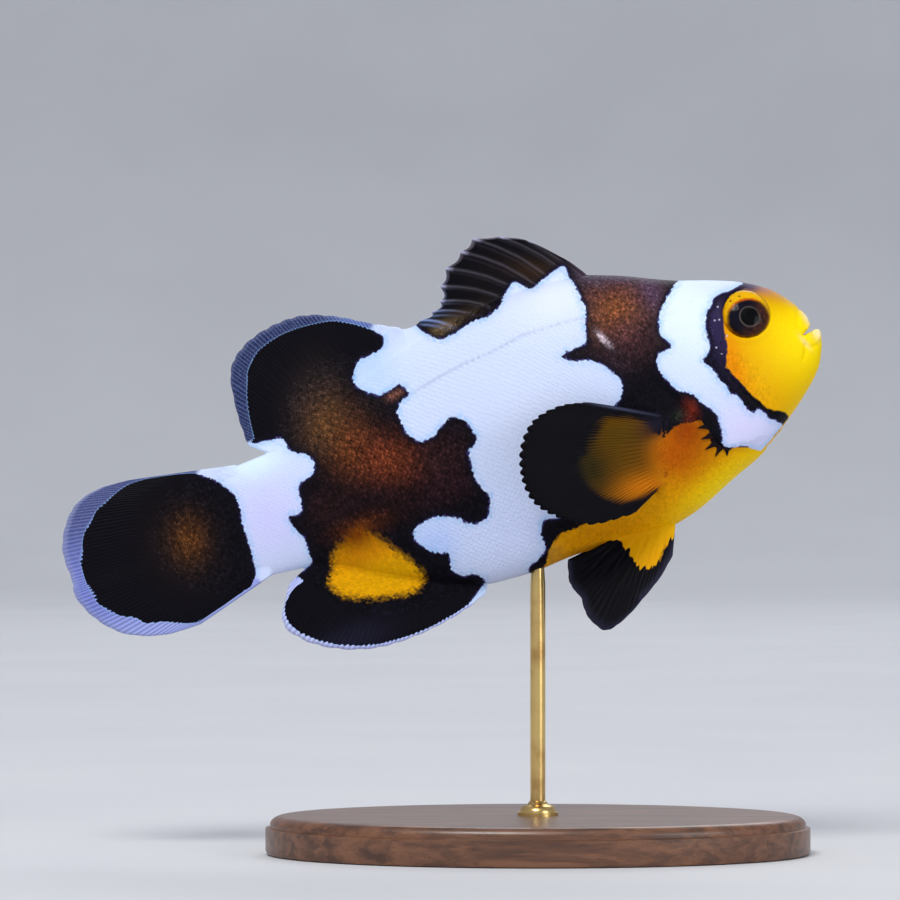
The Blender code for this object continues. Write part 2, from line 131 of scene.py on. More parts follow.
CAUDAL_EDGE = [
    (71.8, 7.95), (75.0, 8.05), (77.6, 7.3), (79.4, 5.5), (80.5, 3.0), (80.5, -0.1), (80.65, -1.9),
    (79.4, -4.6), (77.0, -7.0), (73.3, -8.35), (69.3, -8.5),
]
CAUDAL_ROOT = 60.6
CAUDAL_LOWER = [(62.0, -6.4), (66.0, -7.55), (69.3, -8.5)]
PECTORAL_BASE = [(17.2, -2.9), (18.3, -6.0), (19.7, -9.2)]
PECTORAL_EDGE = [
    (24.6, 1.0), (27.5, 1.5), (30.4, 0.9), (32.4, -1.2), (33.3, -4.2), (32.9, -7.0), (31.0, -9.2),
    (28.0, -10.95), (23.5, -11.3),
]
PELVIC_BASE, PELVIC_OUT = (19.2, 24.6), 1.25
PELVIC_EDGE = [
    (20.9, -16.7), (22.9, -18.45), (25.2, -19.9), (27.5, -21.2), (29.8, -21.75), (31.0, -20.1),
    (31.1, -18.0), (31.7, -16.3), (31.2, -13.9),
]
PELVIC_FRONT = [(19.4, -14.4), (20.9, -16.7), (22.9, -18.5), (25.2, -19.9)]
PECTORAL_FLARE, PELVIC_SPREAD = math.radians(20), math.radians(16)

# The parts of the skin, as numbers in an attribute.
BODY, MEDIAN, PECTORAL, PELVIC, MOUTH_INSIDE = 1.0, 2.0, 3.0, 4.0, 5.0

# White markings.
HEAD_BAND = [
    (10.8, 11.0), (11.4, 10.1), (12.5, 9.3), (13.3, 8.6), (14.4, 7.4), (14.8, 6.7), (15.3, 5.2),
    (14.7, 4.4), (14.6, 3.6), (15.3, 3.5), (16.1, 3.3), (16.6, 1.9), (16.2, 1.0), (15.4, -0.7),
    (14.6, -1.1), (13.8, -1.9), (13.3, -2.8), (12.4, -4.0), (12.25, -4.9), (12.35, -6.3), (12.55, -7.4),
    (12.2, -7.9), (11.4, -8.0), (10.3, -8.3), (9.6, -8.9), (8.2, -9.6), (6.9, -9.6), (5.9, -7.9),
    (6.6, -6.8), (7.1, -6.5), (7.4, -5.9), (8.05, -5.1), (8.4, -5.3), (8.9, -5.1), (9.2, -4.5),
    (9.7, -3.1), (10.3, -2.7), (10.5, -1.7), (11.0, -0.7), (11.2, 0.2), (11.75, 0.9), (11.8, 1.5),
    (11.2, 1.9), (10.7, 2.9), (10.75, 3.8), (10.4, 5.0), (10.0, 5.9), (9.5, 6.2), (9.0, 6.9), (8.6, 7.2),
    (7.7, 7.35), (6.8, 7.3), (5.6, 7.55), (5.4, 7.8), (6.0, 9.4), (8.0, 11.0),
]
MIDDLE_PATCH = [
    (22.5, 15.15), (22.1, 14.8), (22.1, 13.8), (21.9, 13.0), (21.7, 12.0), (21.6, 10.5), (21.8, 9.3),
    (22.2, 8.3), (22.6, 6.8), (23.5, 6.6), (24.5, 6.5), (25.5, 6.2), (24.9, 5.7), (24.3, 5.3),
    (23.3, 5.1), (22.3, 4.6), (21.3, 3.5), (20.6, 2.2), (20.5, 1.3), (21.1, 0.3), (22.0, -0.4),
    (23.5, -2.0), (25.5, -4.5), (28.0, -7.0), (30.0, -9.0), (31.3, -9.3), (32.0, -9.1), (32.9, -10.0),
    (33.0, -12.0), (34.0, -12.8), (35.3, -13.4), (36.0, -15.5), (41.5, -16.0), (42.0, -15.0),
    (41.5, -14.5), (39.9, -13.2), (40.8, -12.2), (41.8, -12.1), (42.5, -11.6), (42.8, -10.9),
    (42.6, -9.4), (43.3, -9.1), (44.2, -8.6), (44.9, -7.8), (45.4, -6.9), (45.0, -5.9), (44.3, -5.6),
    (43.2, -5.4), (42.3, -5.5), (40.7, -6.1), (40.0, -6.8), (39.2, -7.3), (38.2, -7.2), (37.5, -6.9),
    (36.8, -5.3), (37.4, -3.7), (37.6, -2.5), (37.5, -0.5), (37.1, 0.2), (36.5, 0.6), (36.2, 1.3),
    (36.8, 3.0), (37.3, 3.6), (38.2, 3.7), (39.7, 3.0), (40.3, 2.5), (41.9, 2.5), (42.5, 3.2),
    (42.9, 4.0), (43.1, 5.8), (42.8, 6.5), (42.3, 7.0), (41.3, 7.4), (42.0, 8.6), (42.7, 8.5),
    (44.2, 8.2), (45.0, 8.6), (45.6, 9.1), (46.3, 9.8), (46.4, 10.5), (46.0, 11.4), (45.3, 12.2),
    (44.5, 12.4), (43.0, 12.6), (42.3, 13.2), (42.2, 14.0), (43.0, 15.1), (43.2, 17.0), (39.5, 17.0),
    (38.9, 14.6), (38.4, 13.6), (38.0, 12.9), (37.0, 12.0), (36.0, 11.7), (34.6, 12.0), (33.0, 12.4),
    (31.0, 12.5), (29.7, 13.2), (29.0, 14.0), (28.3, 14.7), (27.8, 15.05), (27.3, 14.9), (26.4, 13.9),
    (25.6, 13.9), (25.0, 14.2), (24.0, 14.6), (22.9, 15.0),
]
TAIL_BAND = [
    (55.2, 6.9), (54.9, 5.8), (54.0, 5.1), (53.2, 4.6), (52.8, 3.8), (53.2, 2.8), (54.3, 2.3),
    (55.1, 1.9), (55.4, -0.3), (55.8, -0.8), (57.0, -0.7), (57.0, -1.5), (56.7, -2.5), (56.2, -3.4),
    (56.2, -5.0), (56.3, -5.9), (57.4, -6.45), (59.6, -6.6), (62.4, -6.9), (62.2, -5.5), (61.9, -4.0),
    (61.8, -2.0), (61.8, 0.0), (61.5, 1.5), (61.7, 3.0), (62.2, 4.0), (63.5, 5.5), (64.5, 6.3),
    (65.0, 7.6), (60.0, 7.4), (57.0, 7.4),
]
CAUDAL_DARK = [
    (60.0, 1.5), (61.7, 3.0), (62.2, 4.0), (63.5, 5.5), (64.5, 6.3), (66.0, 6.8), (68.0, 7.2),
    (70.0, 7.5), (72.0, 7.5), (73.5, 7.0), (75.0, 6.4), (76.5, 5.5), (78.0, 3.8), (78.7, 2.5),
    (79.1, 1.0), (79.1, -1.0), (78.7, -3.0), (78.0, -4.1), (77.0, -5.0), (75.5, -5.8), (74.8, -6.6),
    (73.0, -7.0), (71.5, -7.6), (70.0, -8.1), (68.5, -8.25), (67.0, -7.9), (65.0, -7.2), (63.0, -6.4),
    (62.2, -5.5), (60.0, -4.0),
]
DORSAL_MARGIN = [
    (58.4, 7.9), (58.0, 8.3), (57.9, 9.5), (57.6, 11.5), (57.2, 13.0), (56.4, 15.0), (55.2, 16.2),
    (54.0, 16.8), (52.0, 17.3), (50.0, 17.4), (47.0, 17.1), (45.0, 16.2), (43.0, 14.9), (42.0, 14.0),
    (41.0, 15.4), (44.0, 19.0), (50.0, 21.0), (58.0, 20.0), (62.0, 14.0), (61.0, 7.6),
]
DORSAL_HEEL = [(56.2, 6.0), (55.4, 7.2), (57.4, 7.2), (58.6, 7.75), (60.0, 8.0), (60.0, 6.6)]
ANAL_MARGIN = [
    (40.2, -14.5), (44.0, -15.5), (47.0, -16.05), (50.0, -16.2), (53.0, -15.95), (56.0, -15.0),
    (58.4, -13.65), (60.1, -12.0), (60.6, -10.5), (60.2, -9.1), (58.8, -7.9), (57.8, -7.4), (60.0, -6.2),
    (63.5, -10.0), (62.0, -16.0), (54.0, -18.5), (46.0, -18.0), (40.0, -15.8),
]

# Yellow markings.
FACE = [
    (-2.0, 6.0), (1.0, 8.5), (4.2, 9.0), (4.6, 7.6), (5.2, 7.05), (6.4, 6.95), (7.4, 6.6), (8.2, 5.8),
    (8.6, 4.8), (8.9, 3.6), (9.0, 2.8), (9.1, 1.8), (9.6, 0.8), (9.8, 0.0), (9.4, -1.0), (8.9, -2.0),
    (8.4, -3.2), (7.8, -4.2), (7.3, -5.0), (6.7, -5.6), (5.5, -6.2), (5.2, -7.0), (6.0, -8.6),
    (3.0, -9.0), (-2.0, -4.0),
]
BREAST = [
    (6.2, -8.6), (8.2, -8.9), (9.7, -8.7), (11.4, -8.1), (12.1, -8.2), (12.65, -7.85), (13.35, -7.45),
    (13.7, -6.75), (13.6, -5.9), (13.8, -5.0), (14.1, -4.35), (14.9, -4.3), (15.9, -4.1), (16.9, -4.25),
    (18.0, -4.7), (18.9, -5.1), (20.0, -6.0), (22.0, -9.0), (25.0, -10.6), (27.4, -10.5), (29.0, -10.9),
    (31.0, -11.0), (32.4, -12.0), (33.2, -13.2), (33.6, -15.5), (20.0, -17.0), (8.0, -13.5),
]
ANAL_PATCH = [
    (55.4, -9.0), (55.3, -8.2), (54.6, -7.3), (54.3, -6.2), (53.5, -5.2), (52.0, -4.3), (51.0, -4.0),
    (50.0, -4.2), (49.0, -5.2), (48.0, -6.6), (47.0, -8.0), (46.0, -9.5), (45.6, -10.8), (46.1, -11.8),
    (47.5, -12.2), (49.0, -12.0), (51.0, -11.6), (53.0, -11.0), (54.5, -10.2),
]
PECTORAL_PATCH = [
    (17.0, -4.6), (18.5, -4.4), (19.5, -2.7), (20.5, -2.0), (22.5, -1.2), (23.5, -1.15), (24.3, -2.0),
    (25.0, -2.6), (26.0, -3.6), (27.3, -4.6), (27.5, -5.4), (27.1, -6.9), (26.5, -7.8), (26.0, -8.6),
    (25.0, -9.4), (24.0, -9.9), (22.7, -10.0), (20.5, -9.7), (19.0, -10.5), (16.5, -8.0),
]
PELVIC_PATCH = [
    (18.6, -12.5), (19.3, -14.5), (20.8, -15.1), (21.5, -15.7), (22.2, -16.5), (22.9, -17.1),
    (23.9, -17.1), (24.6, -16.6), (24.8, -15.9), (25.0, -15.0), (25.3, -12.5),
]
PORES = [(8.74, 6.10), (9.03, 4.80), (9.50, 4.87), (8.81, 2.99), (10.23, 2.19), (9.89, 1.45)]
GILL_SPINES = [  # root and tip of the dark spines on the gill cover's lower edge
    ((13.75, -3.95), (14.25, -3.92)), ((13.45, -5.12), (14.62, -5.02)), ((13.35, -6.18), (14.62, -6.21)),
    ((13.2, -7.0), (14.55, -7.38)), ((12.85, -7.5), (13.74, -8.38)), ((12.3, -7.8), (12.54, -8.69)),
]


def linear(red, green, blue):
    """A display colour out of 255 as a linear colour."""
    shares = np.array([red, green, blue]) / 255
    return np.where(shares > 0.04045, ((shares + 0.055) / 1.055) ** 2.4, shares / 12.92)


# Colour fields: a ground colour, then glows of (u, v, half length, half width, turn in degrees, colour,
# strength). A few of the glows are painted shade and painted highlights, as marked where they stand.
DARK_GROUND = (9, 8, 16)
DARK_GLOWS = [
    (9.4, 4.5, 1.6, 4.5, 0, (52, 42, 82), 0.9),
    (5.6, 7.9, 2.6, 1.2, 20, (74, 62, 100), 0.9),
    (17.5, 10.0, 4.6, 4.2, 20, (76, 50, 56), 1.0),
    (18.8, 9.0, 2.6, 2.3, 0, (122, 68, 36), 0.95),
    (18.2, 12.6, 5.0, 0.8, 18, (66, 54, 78), 0.8),
    (14.6, 9.8, 1.1, 2.0, 0, (90, 68, 94), 0.7),
    (18.4, 5.2, 3.0, 1.7, 0, (54, 30, 34), 0.9),
    (18.5, 6.6, 0.8, 1.1, 0, (96, 54, 54), 0.7),
    (20.84, 6.5, 0.9, 0.24, 67, (236, 214, 226), 1.0),
    (21.0, 3.6, 1.8, 1.4, 0, (44, 30, 38), 0.8),
    (14.7, -3.1, 0.7, 1.3, 20, (122, 40, 22), 0.8),
    (16.0, -3.2, 0.9, 0.6, 0, (34, 38, 30), 0.7),
    (25.2, 15.4, 3.2, 1.2, 28, (62, 42, 24), 0.75),
    (30.0, 16.4, 3.0, 1.6, -10, (22, 18, 20), 0.8),
    (34.4, 13.0, 3.4, 0.7, -16, (58, 46, 34), 0.8),
    (36.4, 12.7, 1.9, 0.7, -18, (112, 92, 62), 0.9),
    (51.0, 9.4, 2.6, 4.0, 25, (46, 36, 34), 0.9),
    (50.4, 7.0, 2.2, 2.8, 20, (92, 60, 32), 0.9),
    (48.6, 4.2, 2.0, 3.0, 20, (96, 52, 24), 0.9),
    (45.4, 1.6, 3.6, 2.4, 25, (104, 48, 26), 1.0),
    (42.8, 8.0, 0.9, 0.6, 0, (140, 88, 74), 0.8),
    (47.0, -3.2, 4.4, 1.9, 0, (28, 12, 14), 0.9),
    (40.0, 0.4, 3.0, 2.4, 0, (44, 24, 26), 0.8),
    (40.5, -3.0, 2.8, 1.6, 0, (42, 20, 26), 0.7),
    (50.5, -4.0, 2.6, 1.0, 0, (96, 46, 10), 0.7),
    (53.0, -1.0, 2.6, 2.0, 0, (40, 20, 20), 0.7),
    (68.2, 0.0, 3.4, 4.0, 0, (34, 24, 20), 0.8),
    (67.6, 0.2, 1.7, 2.2, 15, (86, 50, 20), 0.85),
    (55.0, -14.8, 4.4, 1.6, 0, (32, 31, 50), 0.7),
]
YELLOW_GROUND = (228, 164, 0)
YELLOW_GLOWS = [
    (1.0, 0.5, 5.0, 6.0, 0, (255, 228, 0), 1.0),
    (2.6, -6.5, 5.0, 2.0, -35, (246, 214, 8), 0.8),
    (9.2, 0.0, 1.3, 5.0, 0, (228, 138, 0), 0.9),
    (3.0, 4.6, 1.6, 1.1, 40, (226, 184, 0), 0.8),
    (15.3, -2.5, 1.7, 0.9, 0, (96, 30, 14), 1.0),
    # painted shade in the two creases at the pectoral fin's lower base
    (19.05, -8.45, 0.18, 0.36, 30, (84, 36, 8), 0.9),
    (20.4, -9.8, 0.18, 0.42, 30, (84, 36, 8), 0.9),
    (3.6, 5.9, 2.4, 0.8, 38, (204, 138, 12), 0.85),
    (2.0, 5.3, 1.0, 0.48, 44, (190, 148, 84), 0.95),
    (1.2, 4.3, 0.8, 0.36, 50, (214, 174, 96), 0.9),
    (3.1, 6.3, 0.9, 0.55, 40, (180, 132, 98), 1.0),
    (3.9, 6.85, 0.9, 0.62, 36, (162, 114, 106), 1.0),
    (4.6, 7.2, 0.8, 0.72, 30, (86, 66, 78), 1.0),
    (5.1, 7.45, 1.1, 0.95, 25, (56, 48, 88), 1.0),
    # painted highlight on the lower lip's tip
    (-0.5, 0.4, 0.6, 0.6, 0, (250, 236, 180), 0.9),
    (1.25, -0.1, 0.20, 0.8, -22, (250, 226, 160), 0.7),
    # painted highlight along the upper lip's front edge
    (0.2, 2.3, 0.35, 1.2, -10, (250, 238, 200), 0.7),
    (15.8, -5.0, 3.2, 3.1, 0, (134, 52, 0), 1.0),
    (17.8, -7.0, 3.8, 3.0, 20, (176, 82, 0), 0.9),
    (12.5, -10.4, 6.0, 1.3, -18, (240, 196, 0), 0.9),
    (14.0, -11.8, 6.0, 1.5, -18, (246, 214, 4), 1.0),
    (27.0, -12.2, 6.0, 1.6, 0, (204, 132, 2), 0.8),
    (32.6, -12.6, 1.2, 1.0, 0, (180, 136, 50), 0.7),
    (50.5, -6.8, 3.4, 1.5, 0, (216, 130, 0), 0.6),
    (51.0, -4.6, 3.4, 2.0, 0, (112, 56, 0), 1.0),
    (49.0, -9.8, 4.4, 2.0, 0, (222, 166, 0), 0.9),
]
PECTORAL_GROUND = (92, 62, 0)
PECTORAL_GLOWS = [
    (18.6, -6.8, 1.8, 3.0, 0, (150, 76, 0), 0.9),
    (21.4, -9.1, 3.4, 1.5, 10, (198, 114, 0), 1.0),
    (22.6, -3.2, 2.0, 1.2, 20, (84, 60, 0), 0.9),
    (26.4, -5.5, 2.2, 3.4, 0, (40, 34, 8), 1.0),
    # painted shade over the top of the fin's root
    (18.2, -3.6, 2.2, 1.5, 0, (20, 15, 26), 1.0),
]
FIN_GROUND = (7, 7, 13)
FIN_GLOWS = [
    # painted shade over the top of the fin's root
    (18.4, -3.4, 1.4, 0.9, 10, (26, 22, 38), 0.8),
    (22.0, -0.45, 3.6, 0.14, 28, (80, 84, 112), 0.7),
]
WHITE_GROUND = (204, 216, 246)
WHITE_GLOWS = [
    (12.0, 6.0, 4.0, 6.0, 0, (226, 240, 252), 0.95),
    (24.0, 12.0, 5.0, 3.0, 0, (222, 230, 248), 0.9),
    (30.0, 3.0, 6.0, 4.0, 0, (212, 222, 248), 0.8),
    (44.0, 11.0, 2.5, 3.5, 0, (186, 210, 247), 0.9),
    (38.5, 12.5, 3.5, 1.6, -20, (212, 224, 248), 0.8),
    (35.0, -9.0, 5.0, 4.0, 0, (206, 218, 254), 0.8),
    (43.5, -8.0, 2.5, 2.5, 0, (176, 200, 252), 0.8),
    (10.0, -6.5, 4.0, 2.6, 0, (220, 216, 252), 0.9),
    (59.0, 0.0, 4.0, 4.5, 0, (204, 204, 248), 0.9),
    (58.5, 5.6, 3.0, 1.6, 0, (216, 238, 254), 0.9),
]
LAVENDER, ANAL_PALE = linear(118, 128, 202), linear(184, 190, 242)  # the fins' pale margins
DORSAL_BLUE, DORSAL_FRONT = linear(26, 38, 84), linear(112, 136, 204)
CAUDAL_LOW, MARGIN_RAYS = linear(168, 178, 236), linear(118, 136, 198)
BRIGHT_RAYS, RIM_LIGHT = linear(206, 214, 246), linear(196, 204, 240)
SPINE_FRONT, SPINE_REAR, SPINE_TIPS = linear(140, 132, 148), linear(150, 176, 236), linear(206, 206, 240)
MOUTH_TONE, PELVIC_HEM = linear(206, 150, 90), linear(52, 50, 74)


def through(points, rising=False):
    """A smooth function of x through (x, y) points; with rising, it never swings past its points."""
    xs, ys = np.array(points, float).T
    steps = np.diff(xs)
    slopes = np.diff(ys) / steps
    tangents = np.empty(len(xs))
    tangents[[0, -1]] = slopes[[0, -1]]
    before, after = slopes[:-1], slopes[1:]
    if rising:
        same_way = before * after > 0
        harmonic = 2 * before * after / np.where(same_way, before + after, 1.0)
        tangents[1:-1] = np.where(same_way, harmonic, 0.0)
    else:
        tangents[1:-1] = (before * steps[1:] + after * steps[:-1]) / (steps[1:] + steps[:-1])

    def value(x):
        x = np.clip(x, xs[0], xs[-1])
        k = np.clip(np.searchsorted(xs, x, "right") - 1, 0, len(steps) - 1)
        t = (x - xs[k]) / steps[k]
        return (
            ys[k] * (1 + 2 * t) * (1 - t) ** 2
            + tangents[k] * steps[k] * t * (1 - t) ** 2
            + ys[k + 1] * t * t * (3 - 2 * t)
            + tangents[k + 1] * steps[k] * t * t * (t - 1)
        )

    return value


def line_through(points):
    """A smooth line of (u, v) over t from 0 to 1, through evenly spread points."""
    ts = np.linspace(0, 1, len(points))
    u = through([(t, p[0]) for t, p in zip(ts, points)])
    v = through([(t, p[1]) for t, p in zip(ts, points)])
    return lambda t: np.stack([u(t), v(t)], axis=-1)


def smoothstep(low, high, x):
    t = np.clip((x - low) / (high - low), 0, 1)
    return t * t * (3 - 2 * t)


def bell(x, width):
    return np.exp(-((x / width) ** 2))


def unit(vectors):
    return vectors / np.maximum(np.linalg.norm(vectors, axis=-1, keepdims=True), 1e-9)


def sideways(ways):
    """Directions in (u, v), each turned by a quarter."""
    return ways[..., ::-1] * [-1, 1]


def turns(count):
    """Angles evenly round a circle."""
    return 2 * math.pi * np.arange(count) / count


def quarter(steps):
    """Angles from 0 to a quarter turn."""
    return [math.pi / 2 * k / steps for k in range(steps + 1)]


def tint(colours, share, other):
    """The colours, each moved by its own share towards another."""
    return colours + share[:, None] * (other - colours)


def pick(chosen, first, second):
    """The first's colours where chosen, and the second's elsewhere."""
    return np.where(chosen[:, None], first, second)


def lengths_along(rows):
    """How far each point of each row is from the row's start."""
    steps = np.linalg.norm(np.diff(rows, axis=1), axis=-1)
    return np.concatenate([np.zeros((len(rows), 1)), np.cumsum(steps, axis=1)], axis=1)


def resampled(at, known, row):
    """Points at new places along a row whose places are known."""
    return np.stack([np.interp(at, known, row[:, k]) for k in range(3)], axis=-1)


LAST_CELL = 1.001  # how far short of a grid's end its last places are


def blended(grid, x, y):
    """A grid's values between its points, at x and y counted in its steps."""
    x, y = (np.clip(place, 0, size - LAST_CELL) for place, size in zip((x, y), grid.shape))
    i, j = x.astype(int), y.astype(int)
    fx, fy = x - i, y - j
    if grid.ndim == 3:
        fx, fy = fx[..., None], fy[..., None]
    near = grid[i, j] * (1 - fx) + grid[i + 1, j] * fx
    far = grid[i, j + 1] * (1 - fx) + grid[i + 1, j + 1] * fx
    return near * (1 - fy) + far * fy


back = through(BACK, rising=True)
belly = through(BELLY, rising=True)
half_width = through(HALF_WIDTH, rising=True)
widest_share = through(WIDEST_AT)
back_roundness = through(BACK_ROUNDNESS)
belly_roundness = through(BELLY_ROUNDNESS)
gill_u = through([(v, u) for u, v in sorted(GILL_EDGE[:9], key=lambda p: p[1])])


def turned(u, v, w):
    """The straight fish's place with the nose up and the tail swung, before it is moved onto the rod."""
    swing = TAIL_SWING * (np.maximum(u - SWING_FROM, 0) / SWING_OVER) ** 2
    x = -u * math.cos(NOSE_UP) - v * math.sin(NOSE_UP)
    z = -u * math.sin(NOSE_UP) + v * math.cos(NOSE_UP)
    return np.stack([x, w + swing, z], axis=-1) * MM


def find_shift():
    """From turned() to the frame: the rod's solid ends a known gap below the belly."""
    low, high = (np.array(corner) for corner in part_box("stand_rod"))
    middle = (low + high) / 2
    rod_top = np.array([middle[0], middle[1], high[2] + 2 * GAP * MM])
    return rod_top - turned(ROD_AT, belly(ROD_AT), 0.0)


SHIFT = find_shift()


def posed(points):
    """Places in the frame, in metres, of rows of (u, v, w)."""
    return turned(*np.moveaxis(points, -1, 0)) + SHIFT


# ---- Outlines and colour fields ----


def rounded(outline, steps=4):
    """A closed outline with more points, on a smooth curve through the given ones."""
    p = np.array(outline, float)
    before, after, later = (np.roll(p, by, 0) for by in (1, -1, -2))
    rows = [
        0.5 * (2 * p + (after - before) * t + (2 * before - 5 * p + 4 * after - later) * t**2
               + (3 * p - before - 3 * after + later) * t**3)
        for t in np.arange(steps) / steps
    ]
    return np.stack(rows, axis=1).reshape(-1, 2)


def distance_to_line(u, v, line):
    """How far each (u, v) is from an open line of points."""
    best = np.full(np.shape(u), 1e9)
    for (au, av), (bu, bv) in zip(line, line[1:]):
        du, dv = bu - au, bv - av
        t = np.clip(((u - au) * du + (v - av) * dv) / (du * du + dv * dv), 0, 1)
        best = np.minimum(best, np.hypot(u - au - t * du, v - av - t * dv))
    return best


class Marking:
    """An outline's signed distance, above 0 inside, kept on a fine grid round it."""

    STEP, MARGIN = 0.1, 1.6

    def __init__(self, outline):
        line = rounded(outline)
        self.low = line.min(axis=0) - self.MARGIN
        counts = np.ceil((line.max(axis=0) + self.MARGIN - self.low) / self.STEP).astype(int) + 1
        ticks = (low + self.STEP * np.arange(count) for low, count in zip(self.low, counts))
        u, v = np.meshgrid(*ticks, indexing="ij")
        away = distance_to_line(u, v, np.vstack([line, line[:1]]))
        inside = np.zeros(u.shape, bool)
        for (au, av), (bu, bv) in zip(line, np.roll(line, -1, 0)):
            if av != bv:
                crosses = (av > v) != (bv > v)
                inside ^= crosses & (u < au + (v - av) * (bu - au) / (bv - av))
        self.grid = np.where(inside, away, -np.minimum(away, self.MARGIN))

    def at(self, u, v):
        x, y = (u - self.low[0]) / self.STEP, (v - self.low[1]) / self.STEP
        rows, columns = self.grid.shape
        outside = (x < 0) | (y < 0) | (x > rows - LAST_CELL) | (y > columns - LAST_CELL)
        return np.where(outside, -self.MARGIN, blended(self.grid, x, y))


def field(ground, glows, u, v):
    """A ground colour with glows over it, as linear colours."""
    colours = np.tile(linear(*ground), (len(u), 1))
    for gu, gv, length, width, turn, glow, strength in glows:
        c, s = math.cos(math.radians(turn)), math.sin(math.radians(turn))
        along, across = (u - gu) * c + (v - gv) * s, (v - gv) * c - (u - gu) * s
        colours = tint(colours, strength * bell(along, length) * bell(across, width), linear(*glow))
    return colours


OUTLINES = {
    "head_band": HEAD_BAND, "middle_patch": MIDDLE_PATCH, "tail_band": TAIL_BAND,
    "caudal_dark": CAUDAL_DARK, "dorsal_margin": DORSAL_MARGIN, "dorsal_heel": DORSAL_HEEL,
    "anal_margin": ANAL_MARGIN, "face": FACE, "breast": BREAST, "anal_patch": ANAL_PATCH,
    "pectoral_patch": PECTORAL_PATCH, "pelvic_patch": PELVIC_PATCH,
}
MARKS = {name: Marking(outline) for name, outline in OUTLINES.items()}
OUTSIDE, INSIDE = -2.0, 2.0  # distances well outside and inside every marking
WHITE_GRAIN, PATCH_GRAIN = 0.14, 0.5  # how far single scales stray over a border


def drifted(points):
    """(u, v) of rows of points, where the left flank's markings drift a little from the right's."""
    u, v, w = points.T
    side = smoothstep(1.0, 3.5, w)
    drift_u = side * (0.55 * np.sin(0.31 * v + 1.3) + 0.25 * np.sin(0.9 * v + 0.2 * u))
    drift_v = side * (0.50 * np.sin(0.27 * u + 0.7) + 0.25 * np.sin(0.8 * u + 2.0))
    calm = smoothstep(4.0, 9.0, u)  # not round the eye and mouth
    return u + calm * drift_u, v + calm * drift_v


def painted(points, part, crest, reach, grain=0.5):
    """What the skin shows at rows of (u, v, w): distances into white and yellow, and the three tones.
    crest is 1 on a fin ray and 0 between rays, and reach runs from 0 at a fin's base to 1 at its edge."""
    u, v = drifted(points)
    on_median, in_mouth = part == MEDIAN, part == MOUTH_INSIDE
    on_pectoral, on_pelvic = part == PECTORAL, part == PELVIC
    paired = on_pectoral | on_pelvic
    streak = np.where(on_median, 0.11, 0.22) * (crest - 0.5) * (1 + 0.6 * np.sin(2.3 * u + 1.7 * v))

    def mark(*names):
        return np.maximum.reduce([MARKS[name].at(u, v) for name in names])

    caudal = np.maximum(-mark("caudal_dark"), 0.30 - distance_to_line(u, v, CAUDAL_LOWER))
    caudal = np.where(u > 62.0, caudal, OUTSIDE)
    margins = np.maximum(caudal, mark("dorsal_margin", "anal_margin")) + streak
    white = mark("head_band", "middle_patch", "tail_band", "dorsal_heel")
    margin = np.clip(margins - white, 0, 1) * on_median
    white = np.where(on_median, np.maximum(white, 8 * margins), white) + WHITE_GRAIN * (grain - 0.5)
    throat = (u > 4.5) & (u < 10.5) & (part == BODY)
    isthmus = np.where(throat, 0.10 + 0.11 * (u - 4.5) - (v - belly(u)), OUTSIDE)
    white = np.where(isthmus > -0.5, np.minimum(white, -isthmus), white)
    white = np.where(paired | in_mouth, OUTSIDE, white)

    dark = field(DARK_GROUND, DARK_GLOWS, u, v)
    flesh = field(YELLOW_GROUND, YELLOW_GLOWS, u, v)
    yellow = np.maximum(mark("face", "breast"), isthmus)
    patch = mark("anal_patch") + PATCH_GRAIN * (grain - 0.5) - 0.25
    flesh = pick(patch > yellow, tint(dark, smoothstep(-0.55, 0.55, patch), flesh), flesh)
    yellow = np.maximum(yellow, patch + 0.6)
    fin_patch = mark("pectoral_patch") + 2 * streak
    yellow = np.where(on_pectoral, fin_patch + 0.6, yellow)
    yellow = np.where(on_pelvic, mark("pelvic_patch") + 2 * streak, yellow)
    yellow = np.where(in_mouth, INSIDE, yellow)

    pored = (1 - 0.22 * bell(distance_to_line(u, v, LATERAL_LINE), 0.13))[:, None]
    pale = field(WHITE_GROUND, WHITE_GLOWS, u, v) * pored
    pale = tint(pale, smoothstep(0.0, 0.25, margin), margin_tone(u, v, crest, reach, margin))
    dark = with_spines(dark * (2 - pored), u, v, part, crest, reach)
    black, streaked = paired_tones(u, v, crest, reach, on_pelvic, flesh, fin_patch)
    flesh = pick(on_pectoral, streaked, pick(in_mouth, MOUTH_TONE, flesh))
    return {"white": white, "yellow": yellow, "dark_tone": pick(paired, black, dark), "yellow_tone": flesh,
            "white_tone": pale}


def margin_tone(u, v, crest, reach, margin):
    """The pale margins: blue on the dorsal fin, lavender on the tail fin, nearly white on the anal fin."""
    on_dorsal, on_anal, on_caudal = (u < 60) & (v > 7.0), (u < 62) & (v < -7.0), u > 60
    tone = LAVENDER * (1 - 0.62 * smoothstep(-1.0, 7.0, v) * on_caudal)[:, None]
    tone = tint(tone, 0.75 * on_caudal * smoothstep(-3.0, -8.0, v), CAUDAL_LOW)
    tone = pick(on_dorsal, tint(DORSAL_BLUE, 0.7 * smoothstep(48.5, 44.5, u), DORSAL_FRONT), tone)
    tone = pick(on_anal, ANAL_PALE, tone)
    between = np.where(on_dorsal, 0.45, np.where(on_anal, 0.65, 0.55))
    tone = tone * (between + (1.25 - between) * crest)[:, None]
    tone = tint(tone, np.where(on_dorsal, 0.30, 0.2) * smoothstep(0.72, 0.97, crest), MARGIN_RAYS)
    at_rear = on_anal * smoothstep(56.5, 59.5, u)
    rear_rays = at_rear * smoothstep(0.55, 0.9, crest) * smoothstep(0.84, 0.93, reach)
    inner = on_dorsal * bell(margin - 0.10, 0.10) * smoothstep(13.0, 16.0, v) * (u < 57)
    tone = tint(tone, 0.75 * rear_rays + 0.45 * inner, BRIGHT_RAYS)
    return tint(tone, np.where(on_dorsal, 0.12, 0.35) * smoothstep(0.968, 0.99, reach), RIM_LIGHT)


